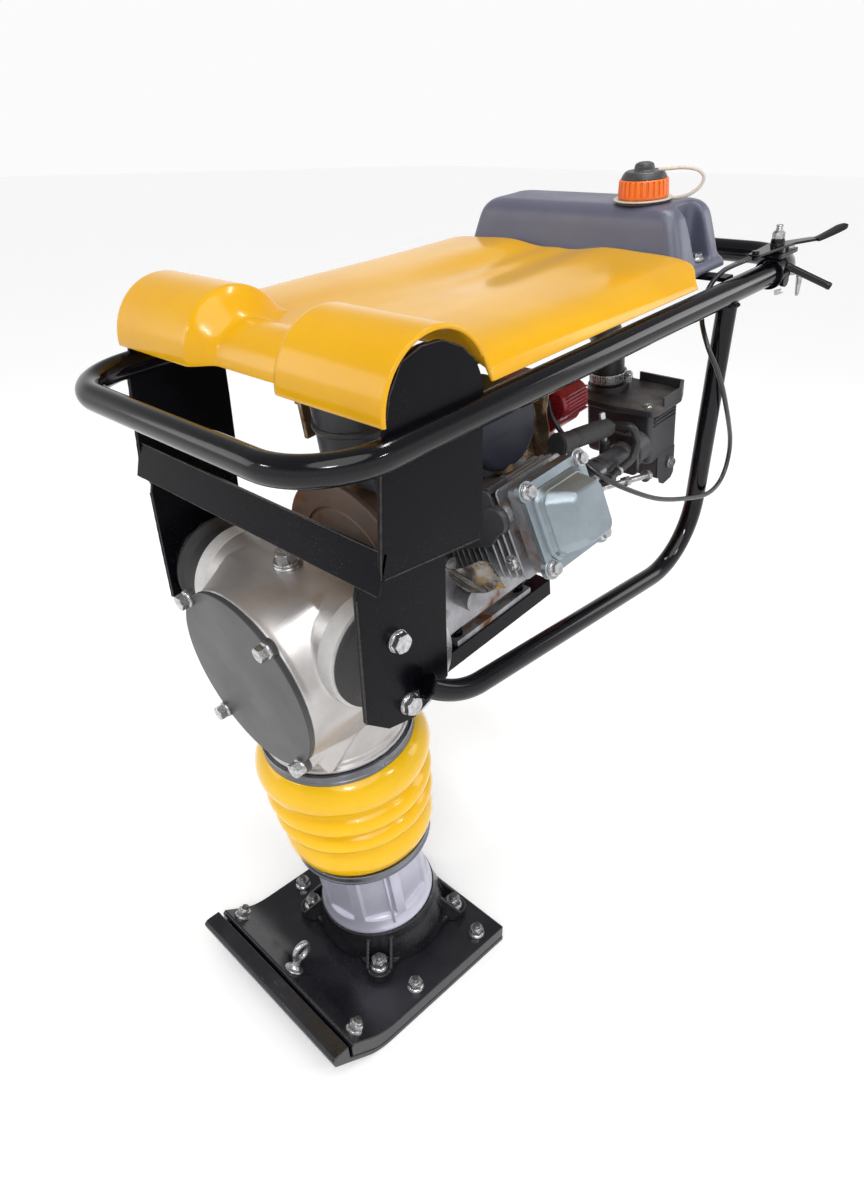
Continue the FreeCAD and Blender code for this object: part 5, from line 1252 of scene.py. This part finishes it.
    def sh2(a, b_, t):
        q = noise.noise(Vector((a * 3.1, b_ * 2.2, 4.3)))
        return (96 + 74 * a, 124 - 9.0 * (1 - b_) ** 1.5 * 1.6 + 5.0 * q - t + 10 * max(0.0, b_ - 0.8), -24 - 38 * b_ - 5 * math.sin(a * 5.0))
    put("crinkled_sheet", sheet(sh2, 40, 24, 0.9), K, "heatsteel", "upper", (), ang=60)

    # muffler
    mf = loft([[(x, v, w) for v, w in rrect(138.3 + g_, 711.3 + g_, 223.7 - g_, 795.7 - g_, 37, 12)] for x, g_ in ((50.4, 6.0), (51.8, 2.4), (54.6, 0.6), (58, 0.0), (139, 0.0), (142.6, 0.6), (145.2, 2.4), (146.4, 5.2))])
    seam = loft([[(x, v, w) for v, w in rrect(136.9, 709.9, 225.1, 797.1, 38, 12)] for x in (97.4, 99.6)], 0.6, 2)
    put("muffler_can", join(mf, seam), M, "muffler", "upper", ("muffler",), ang=50)
    st = rlathe([(0, 47.6), (9.3, 47.6), (9.3, 63), (0, 63)], 0.5, 32, p=(166, 180, 0))
    put("muffler_stub", st, K, "shield", "upper", ())

    # a wavy grid under the head, built and then freed: nothing of it is kept
    hsb = []
    n = 18
    bs = bmesh.new()
    rows = []
    for i in range(n + 1):
        f = i / n
        x = 96 + 70 * f
        row = []
        for j in range(9):
            g_ = j / 8
            z = -57.0 + 3.0 * math.sin(f * 7 + g_ * 2)
            y = 125.5 + 94 * g_
            row.append(bs.verts.new((x, y, z)))
        rows.append(row)
    for r0, r1 in zip(rows, rows[1:]):
        for j in range(8):
            bs.faces.new((r0[j], r1[j], r1[j + 1], r0[j + 1]))
    bs.free()
    # spark plug boot, hose, air box group
    def smooth_path(pts, k=8):
        P = [Vector(p) for p in pts]
        out = []
        for i in range(len(P) - 1):
            p0 = P[max(0, i - 1)]; p1 = P[i]; p2 = P[i + 1]; p3 = P[min(len(P) - 1, i + 2)]
            for j in range(k):
                t = j / k
                out.append(0.5 * ((2 * p1) + (p2 - p0) * t + (2 * p0 - 5 * p1 + 4 * p2 - p3) * t * t + (3 * p1 - p0 - 3 * p2 + p3) * t ** 3))
        out.append(P[-1])
        return out

    def br(f):
        return 10.4 - 0.5 * math.cos(f * 2 * math.pi * 2) * 0 - (0.9 if 0.30 < f < 0.36 else 0) - (0.7 if f > 0.9 else 0) + (0.5 if f < 0.12 else 0)
    bt = sweep(smooth_path([(165, 229.5, 720.6), (165, 250, 717), (165, 275, 713), (164.6, 298, 708.4), (164, 319.6, 704)], 9), 10.4, 32, rf=br)
    col_ = rlathe([(8, 0), (12.2, 0), (12.6, 2), (12.2, 6), (9, 7), (8, 0)], 0.8, 40, p=(165, 231, 720.2), d=(0, 0.98, -0.17))
    put("plug_boot", join(bt, col_), M, "rubber", "upper", ("spark_plug_boot",))
    bh = sweep(dense(corner_path([(164, 320.2, 704), (164, 331, 702), (186, 336, 704), (188, 343, 684), (188, 334, 667), (188, 295, 663)], [6, 7, 8, 10], 1.5), 5), 4.3, 20)
    cl = [rlathe([(4.2, 0), (5.4, 0), (5.4, 3.4), (4.2, 3.4), (4.2, 0)], 0.3, 28, p=p_, d=d_) for p_, d_ in (((164.1, 322.4, 703.7), (0, 1, -0.18)), ((188, 305, 664), (0, 1, 0.1)))]
    put("breather_line", bh, M, "hose", "upper", ("breather_hose",), ang=70, wn=False)
    put("breather_clips", join(*cl), M, "zinc", "upper", ())
    # carburettor
    CU, CW = 163.7, 658.2
    cbm = [loft([[(x, v, w) for x, w in rrect(142.4, 640.4, 185.6, 675.6, 8, 4)] for v in (240.5, 245.9)], 0.8),
           loft([[(x, v, w) for x, w in rrect(147 + g_, 641 + g_, 181 - g_, 673 - g_, 6, 4)] for v, g_ in ((246, 1.5), (250, 0), (297, 0), (300, 1.0))]),
           rlathe([(0, 298), (16, 298), (16, 306), (14.6, 308), (14.6, 344), (16, 346), (16, 352), (0, 352)], 0.8, 48, p=(CU, 0, CW), d=(0, 1, 0)),
           loft([[(x, v, w) for x, w in rrect(140.3, 634.3, 181.7, 681.7, 7, 4)] for v in (352.2, 357.8)], 0.8),
           rlathe([(0, 357.8), (18.6, 357.8), (20, 359.4), (20, 364), (18.6, 365.6), (18.6, 380.9), (0, 380.9)], 0.7, 56, p=(CU, 0, CW), d=(0, 1, 0)),
           rlathe([(0, 616.2), (14, 616.2), (16.6, 619), (17, 622), (17, 636), (15, 641), (0, 641)], 1.0, 48, p=(CU, 273, 0)),
           rlathe([(0, 664), (6, 664), (6, 679.4), (5.2, 680), (0, 680)], 0.5, 32, p=(152, 332, 0)),
           loft([[(x, v, w) for v, w in rrect(284.3, 657.9, 293.5, 668.7, 2.4, 3)] for x in (181.0, 194.6)], 0.6)]
    put("carburettor_body", join(*cbm), M, "plastic", "upper", ("carburetor",), ang=40)
    sd = Vector((0, 114, -32)).normalized()
    st = [rlathe([(0, 0), (3.3, 0), (3.3, 115), (2.6, 116), (0, 116)], 0.3, 24, p=(186.5, 262, 660), d=sd),
          place(hexnut(10.5, 8, 1.0), Vector((186.5, 262, 660)) + sd * 60, sd), place(hexnut(10.5, 6, 1.0), Vector((186.5, 262, 660)) + sd * 106, sd),
          rlathe([(0, 0), (7, 0), (7, 1.4), (0, 1.4)], 0.3, 32, p=Vector((186.5, 262, 660)) + sd * 104, d=sd)]
    put("carburettor_stud", join(*st), M, "zinc", "upper", ())
    # a jet plate with a nut on the carburettor
    jt = [loft([[(x, v, w) for v, w in rrect(262, 664.5, 292, 672.5, 2, 3)] for x in (181.4, 183.4)], 0.4), place(hexnut(7, 4, 0.8), (183.4, 268, 668.5), (1, 0, 0))]
    put("carburettor_plate", join(*jt), M, "white_metal", "upper", ())
    # air box
    ab = [loft([[(x, v, w) for x, v in rrect(90.2 + g_, 381.4 + g_, 179.8 - g_, 439.8 - g_, 7, 5)] for w, g_ in ((634.2, 3.0), (636, 0.9), (640, 0.2), (697.9, 0.0))])]
    for w in (680, 684.5, 689, 693.5):
        ab.append(loft([[(x, v, z) for v, z in rrect(388, w - 0.1, 432, w + 1.7, 0.7, 2)] for x in (179.2, 181.6)], 0.3))
    ab.append(loft([[(x, v, w) for v, w in [(399.2, 640), (399.2, 612), (406, 606), (408, 600), (414, 596.4), (430, 598), (435.8, 604), (435.8, 640)]] for x in (176.9, 179.9)], 0.6))
    ab.append(brick(150.2, 399.2, 610.2, 180, 402, 640, 0.5))
    ab.append(rlathe([(0, 178), (7, 178), (7, 181.6), (6, 182), (0, 182)], 0.4, 32, p=(0, 424, 622), d=(1, 0, 0)))
    put("air_box_body", join(*ab), M, "plastic", "upper", ("air_box",), ang=40)
    put("air_box_screw", join(hexbolt((182, 424, 622), (1, 0, 0), 10, 3.0, 6.5, 0.8, turn=0.3)), M, "zinc", "upper", ())
    lidp = rpoly([(84, 378), (101, 369), (140, 367), (187, 374), (190, 382), (190, 428), (180, 449), (96, 449), (84, 440)], 5, 4)
    ld = [prism(lidp, 'z', 698.5, 705.8, 1.2, 3)]
    ld.append(rlathe([(0, 705), (24.5, 705), (24, 708), (23.4, 711.6), (20, 711.9), (0, 711.9)], 0.8, 64, p=(101, 412, 0)))
    wall = rpoly([(122, 445.8), (177.4, 445.8), (187.0, 426.4), (187.0, 392), (190, 392), (190, 427.4), (180, 449), (122, 449)], 1.2, 3)
    ld.append(prism(wall, 'z', 704, 715.8, 0.7, 2))
    put("air_box_cover", join(*ld), M, "plastic", "upper", ("air_box_lid",), ang=40)
    sc = rlathe([(0, 705.6), (5.6, 705.6), (5.4, 707.4), (4.2, 708.6), (1.2, 708.8), (1.0, 707.8), (0, 707.8)], 0.3, 32, p=(174, 384, 0))
    put("cover_screw", sc, M, "zinc", "upper", ())
    dp = corner_path([(25, 146.6, 798), (25, 200, 798), (101, 412, 798), (101, 412, 712.6)], [70, 45], 4)
    dk_ = sweep(dense(dp, 9), 18.9, 44)
    cuff = rlathe([(18.6, 712.4), (20.2, 712.4), (20.2, 727), (19.4, 728.4), (18.6, 728.4), (18.6, 712.4)], 0.4, 56, p=(101, 412, 0))
    cuff.free()
    put("intake_hose", dk_, M, "hose", "upper", ("intake_duct",), ang=70, wn=False)
    b = bmesh.new()
    prof = []

    def wf(r, h, a):
        if r > 20.5:
            q = (a * 46 / (2 * math.pi)) % 1.0
            return r - (0.55 if 0.3 < q < 0.7 else 0.0)
        return r
    b.free()
    wc = lathe(rprof([(19.3, 714.7), (21.6, 714.7), (21.9, 715.6), (21.9, 725.2), (21.6, 726.2), (19.3, 726.2), (19.3, 714.7)], 0.3), 276, fn=wf)
    tf(wc, Matrix.Translation((101, 412, 0)))
    wd = Vector((0.55, -0.83, 0))
    hsg = rlathe([(0, 0), (4.6, 0), (4.9, 3), (4.9, 13), (4.4, 14), (3.6, 14.4), (3.6, 18), (0, 18)], 0.4, 32, p=(121, 425, 720.5), d=wd)
    scr = place(hexnut(7.0, 4, 0.8), Vector((121, 425, 720.5)) + wd * 15.6, wd)
    put("worm_clamp", join(wc, hsg, scr), M, "zinc", "upper", ("hose_clamp",), ang=30)
    # air filter canister
    cn = [rlathe([(0, 736.2), (43, 736.2), (45.6, 739), (46, 742), (46, 770), (48.4, 771.6), (49, 773), (49, 775.4), (48.2, 776.8), (46, 777.6), (46, 808), (44, 812), (38, 813.9), (0, 813.9)], 1.2, 96, p=(25, 95, 0)),
          rlathe([(0, 136), (17, 136), (17, 145.9), (0, 145.9)], 0.6, 48, p=(25, 0, 798), d=(0, 1, 0)),
          brick(0.2, 80.2, 700.8, 49.8, 109.8, 737.5, 1.0)]
    put("filter_canister", join(*cn), M, "plastic", "upper", ("air_filter_canister",), ang=45)
    cp = [loft([[(x, v, w) for x, v in rrect(-28, 60, -22, 72, 1.5, 2)] for w in (752, 792)], 0.6), loft([[(x, v, w) for x, v in rrect(-34, 61, -22, 70, 1.2, 2)] for w in (788, 792)], 0.5)]
    put("canister_clip", join(*cp), M, "shield", "upper", ())
    # blower housing
    bl = [rlathe([(82.5, 264.5), (107, 264.5), (108, 266), (108, 318), (104, 324.5), (98, 326), (82.5, 326), (82.5, 322), (96, 322), (103.5, 316), (103.5, 268), (82.5, 268), (82.5, 264.5)], 1.5, 128, p=(0, 0, 605), d=(0, 1, 0))]
    for v in bl[0].verts:
        if v.co.z < 500.6:
            v.co.z = 500.6
    lobe = loft([[(x, v, w) for x, w in rrect(20 + g_, 700 + g_, 125.6 - g_ * 0, 751.8 - g_, 16, 6)] for v, g_ in ((281.4, 2.0), (284, 0.4), (322, 0.4), (325.7, 3.0))])
    lobe2 = loft([[(x, v, w) for x, w in rrect(60 + g_, 716.4 + g_, 137.6 - g_, 751.8 - g_, 14, 6)] for v, g_ in ((281.4, 2.0), (284, 0.4), (322, 0.4), (325.7, 3.0))])
    bl += [lobe, lobe2]
    for k in range(7):
        w = 722 + 4.1 * k
        bl.append(loft([[(x, v, z) for v, z in rrect(286, w, 320, w + 1.8, 0.8, 2)] for x in (136.4, 138.8)], 0.4))
        bl.append(loft([[(x, v, z) for x, z in rrect(66, w, 132, w + 1.8, 0.8, 2)] for v in (280.6, 282.4)], 0.4))
    put("fan_shroud", join(*bl), M, "red", "upper", ("blower_housing",), ang=45)
    rc = [rlathe([(0, 362), (66, 362), (72, 361.2), (84, 356), (92, 344), (98, 331), (98, 326.4), (91, 326.4), (80, 350), (66, 357.6), (0, 357.6)], 1.6, 128, p=(0, 0, 605), d=(0, 1, 0)),
          rlathe([(0, 350), (12, 350), (12, 362.6), (10, 363.9), (0, 363.9)], 0.8, 40, p=(-58, 0, 639), d=(0, 1, 0)),
          rlathe([(0, 361.4), (28, 361.4), (26.5, 364), (0, 364)], 0.8, 64, p=(0, 0, 605), d=(0, 1, 0))]
    for k in range(24):
        s_ = loft([[(x, v, z) for x, z in rrect(36, -1.6, 62, 1.6, 1.4, 3)] for v in (361, 363.6)], 0.4)
        tf(s_, Matrix.Translation((0, 0, 605)) @ Matrix.Rotation(R(15 * k), 4, 'Y'))
        if abs((15 * k + 360) % 360 - 210) > 24:
            rc.append(s_)
        else:
            s_.free()
    rcs = [hexbolt((88 * math.cos(a), 352, 605 + 88 * math.sin(a)), (0, 1, 0), 7, 4, flange=6) for a in (0.6, 2.2, 3.8, 5.3)]
    put("starter_cover", join(*rc), M, "red", "upper", ("recoil_cover",), ang=45)
    for q in rcs:
        q.free()
    rh = [rlathe([(0, 364.4), (5.6, 364.4), (5.6, 378), (0, 378)], 0.5, 24, p=(-58, 0, 639), d=(0, 1, 0)),
          loft([[(x, v, w) for v, w in rrect(376.3 + g_, 630.3 + g_, 391.7 - g_, 647.7 - g_, 6.0, 5)] for x, g_ in ((-91.7, 3.0), (-89, 0.8), (-84, 0), (-62, 1.6), (-54, 1.6), (-32, 0), (-27, 0.8), (-24.3, 3.0))])]
    put("starter_grip", join(*rh), M, "plastic", "recoil_handle", ("recoil_handle",), ang=50)
    ck = [rlathe([(0, 680.5), (3, 680.5), (3, 688), (6.5, 688), (6.5, 693.6), (5.6, 694.4), (0, 694.4)], 0.4, 32, p=(152, 332, 0)),
          loft([[(x, v, w) for v, w in rpoly([(328, 694), (336, 694), (333, 706), (330.5, 716), (322.5, 716), (325.5, 706)], 2.0, 3)] for x in (150.5, 153.5)], 0.7)]
    put("choke_tab", join(*ck), M, "white_metal", "choke_lever", ("choke_lever",))


engine()


# ------------------------------------------------------------------ throttle control
def throttle():
    X = 203.1
    bands = [rlathe([(13.7, 675.2), (17.4, 675.2), (17.9, 676.4), (17.9, 694.6), (17.4, 695.8), (13.7, 695.8), (13.7, 675.2)], 0.6, 64, p=(X, 0, 0), d=(0, 1, 0))]
    bands.append(loft([[(x, y, z) for x, y in rpoly([(X - 13, 674.2), (X + 13, 674.2), (X + 13, 700), (X + 12, 721.6), (X + 1, 721.6), (X - 10, 706)], 3, 3)] for z in (17.0, 21.8)], 0.7))
    g = Vector((0.84, 0.35, -0.42)).normalized()
    bands.append(rlathe([(0, 0), (4.4, 0), (4.4, 6), (4.1, 8), (4.1, 50), (4.4, 54), (3.6, 56), (0, 56)], 0.6, 32, p=(X + 14, 689, 8), d=g))
    bands.append(rlathe([(0, 0), (7, 0), (7, 5), (0, 5)], 0.8, 24, p=(X + 13, 686, -8), d=(1, 0, 0)))
    put("lever_clamp", join(*bands), D, "black_paint", "frame", ("throttle_clamp",), ang=45)
    pv = [threads(4.0, 16, 51, 1.8, 28), place(hexnut(12, 6.4, 1.2), (0, 0, 36.6), (0, 0, 1)), rlathe([(0, 43), (5.6, 43), (5.6, 44.2), (0, 44.2)], 0.3, 32)]
    pv = tf(join(*pv), Matrix.Translation((X, 690, 0)))
    o = [pv, hexbolt((X + 6, 711, 22), (0, 0, 1), 9, 4.4, turn=0.2), lathe([(0, -30), (1.6, -30), (2.4, -27), (3.9, -6), (3.9, -4), (0, -4)], 28, p=(X + 22, 711, 0)),
         place(hexnut(8.5, 5, 0.8), (X + 17.5, 700, -4), (0, 0, 1)), place(hexnut(8.5, 5, 0.8), (X + 13, 679, -17), (0.3, 0, -1))]
    put("lever_hardware", join(*o), D, "zinc", "frame", ("lever_pivot",))
    out = rpoly([(X - 7, 632, ), (X + 7, 632), (X + 11, 682), (X + 14, 706), (X + 30, 738), (X + 18, 742), (X, 712), (X - 11, 694)], 4, 3)
    bl = prism(out, 'z', 27.1, 29.9, 0.6, 2)
    rows = []
    n = 14
    for i in range(n + 1):
        f = i / n
        y = 734 + 41 * f
        z = 27.1 + 10.0 * f ** 1.25
        hw = 6.4 + 2.0 * smoothstep(0, 1, f) - (3.2 if i == n else 0) - (1.0 if i == n - 1 else 0)
        rows.append([(-hw, y, z), (-hw * 0.98, y, z + 2.4), (-hw * 0.4, y, z + 3.1), (hw * 0.4, y, z + 3.1), (hw * 0.98, y, z + 2.4), (hw, y, z), (0, y, z - 0.3)])
    tip = loft(rows)
    bevel(tip, 0.0)
    tf(tip, Matrix.Translation((X + 26, 0, 0)))
    tf(tip, Matrix.Translation((X + 26, 738, 27)) @ Matrix.Rotation(R(-24), 4, 'Z') @ Matrix.Translation((-(X + 26), -738, -27)))
    hub = rlathe([(0, 22.6), (8, 22.6), (8, 26), (8.6, 27), (8.6, 30.4), (8, 31), (7.4, 36.0), (0, 36.0)], 0.6, 48, p=(X, 690, 0))
    pin = rlathe([(0, 23.2), (4, 23.2), (4, 32.6), (3.2, 33), (0, 33)], 0.4, 28, p=(X, 638, 0))
    put("thumb_lever", join(bl, tip, hub, pin), D, "black_paint", "throttle_lever", ("throttle_lever",), ang=45)


throttle()

# ------------------------------------------------------------------ room
fl = bmesh.new()
n = 40
for i in range(n + 1):
    for j in range(n + 1):
        fl.verts.new(((i / n - 0.5) * 60, (j / n - 0.5) * 60, -0.0002))
fl.verts.ensure_lookup_table()
for i in range(n):
    for j in range(n):
        a = i * (n + 1) + j
        fl.faces.new((fl.verts[a], fl.verts[a + n + 1], fl.verts[a + n + 2], fl.verts[a + 1]))
me = bpy.data.meshes.new("floor")
fl.to_mesh(me)
fl.free()
me.materials.append(mat("floor_pale", (0.93, 0.93, 0.93), (0.92, 0.92, 0.92), rough=0.7, rvar=0.03, nscale=2, spec=0.2))
fb = me.materials[0].node_tree.nodes["Principled BSDF"]
fb.inputs["Emission Color"].default_value = (1.0, 1.0, 1.0, 1)
fb.inputs["Emission Strength"].default_value = 0.16
floor = bpy.data.objects.new("floor", me)
COL.objects.link(floor)

wd_ = bpy.data.worlds.new("studio")
wd_.use_nodes = True
wt = wd_.node_tree
bg = wt.nodes["Background"]
bg.inputs[0].default_value = (1.0, 1.0, 1.0, 1)
wtc = wt.nodes.new("ShaderNodeTexCoord")
wsp = wt.nodes.new("ShaderNodeSeparateXYZ")
wmr = wt.nodes.new("ShaderNodeMapRange")
wt.links.new(wtc.outputs["Generated"], wsp.inputs[0])
wt.links.new(wsp.outputs[2], wmr.inputs[0])
wmr.interpolation_type = 'SMOOTHSTEP'
wmr.inputs["From Min"].default_value = 0.20
wmr.inputs["From Max"].default_value = 0.55
wmr.inputs["To Min"].default_value = 0.97
wmr.inputs["To Max"].default_value = 0.36
wt.links.new(wmr.outputs[0], bg.inputs[1])
bpy.context.scene.world = wd_


def area(name, loc, target, size, power, size_y=None):
    l = bpy.data.lights.new(name, 'AREA')
    l.shape = 'RECTANGLE'
    l.size = size
    l.size_y = size_y or size
    l.energy = power
    o = bpy.data.objects.new(name, l)
    COL.objects.link(o)
    o.location = loc
    d = Vector(target) - Vector(loc)
    o.rotation_euler = d.to_track_quat('-Z', 'Y').to_euler()
    return o


sun = bpy.data.lights.new("sun", 'SUN')
sun.energy = 1.45
sun.angle = R(50)
so = bpy.data.objects.new("sun", sun)
COL.objects.link(so)
so.rotation_euler = (Vector((-0.5, 0.35, -1.0))).to_track_quat('-Z', 'Y').to_euler()
area("key", (1.5, -1.5, 2.3), (0, 0, 0.6), 0.55, 11, 0.16)
area("spark_right", (2.1, 0.5, 2.0), (0, 0, 0.4), 0.30, 6, 0.05)
area("spark_left", (-0.9, -2.1, 2.0), (0, 0, 0.4), 0.30, 6, 0.05)
area("spark_mid", (1.9, -1.9, 2.6), (0, 0, 0.5), 0.22, 4, 0.04)
area("fill", (-2.2, -2.0, 1.6), (0, 0, 0.5), 1.2, 8, 1.2)
area("top", (0.1, 0.7, 2.6), (0, 0.1, 0.6), 0.9, 11, 0.14)
area("rim", (1.6, 2.4, 1.8), (0, 0.1, 0.6), 0.8, 10, 1.2)
sc_ = bpy.context.scene
sc_.view_settings.view_transform = 'Standard'
sc_.view_settings.look = 'None'
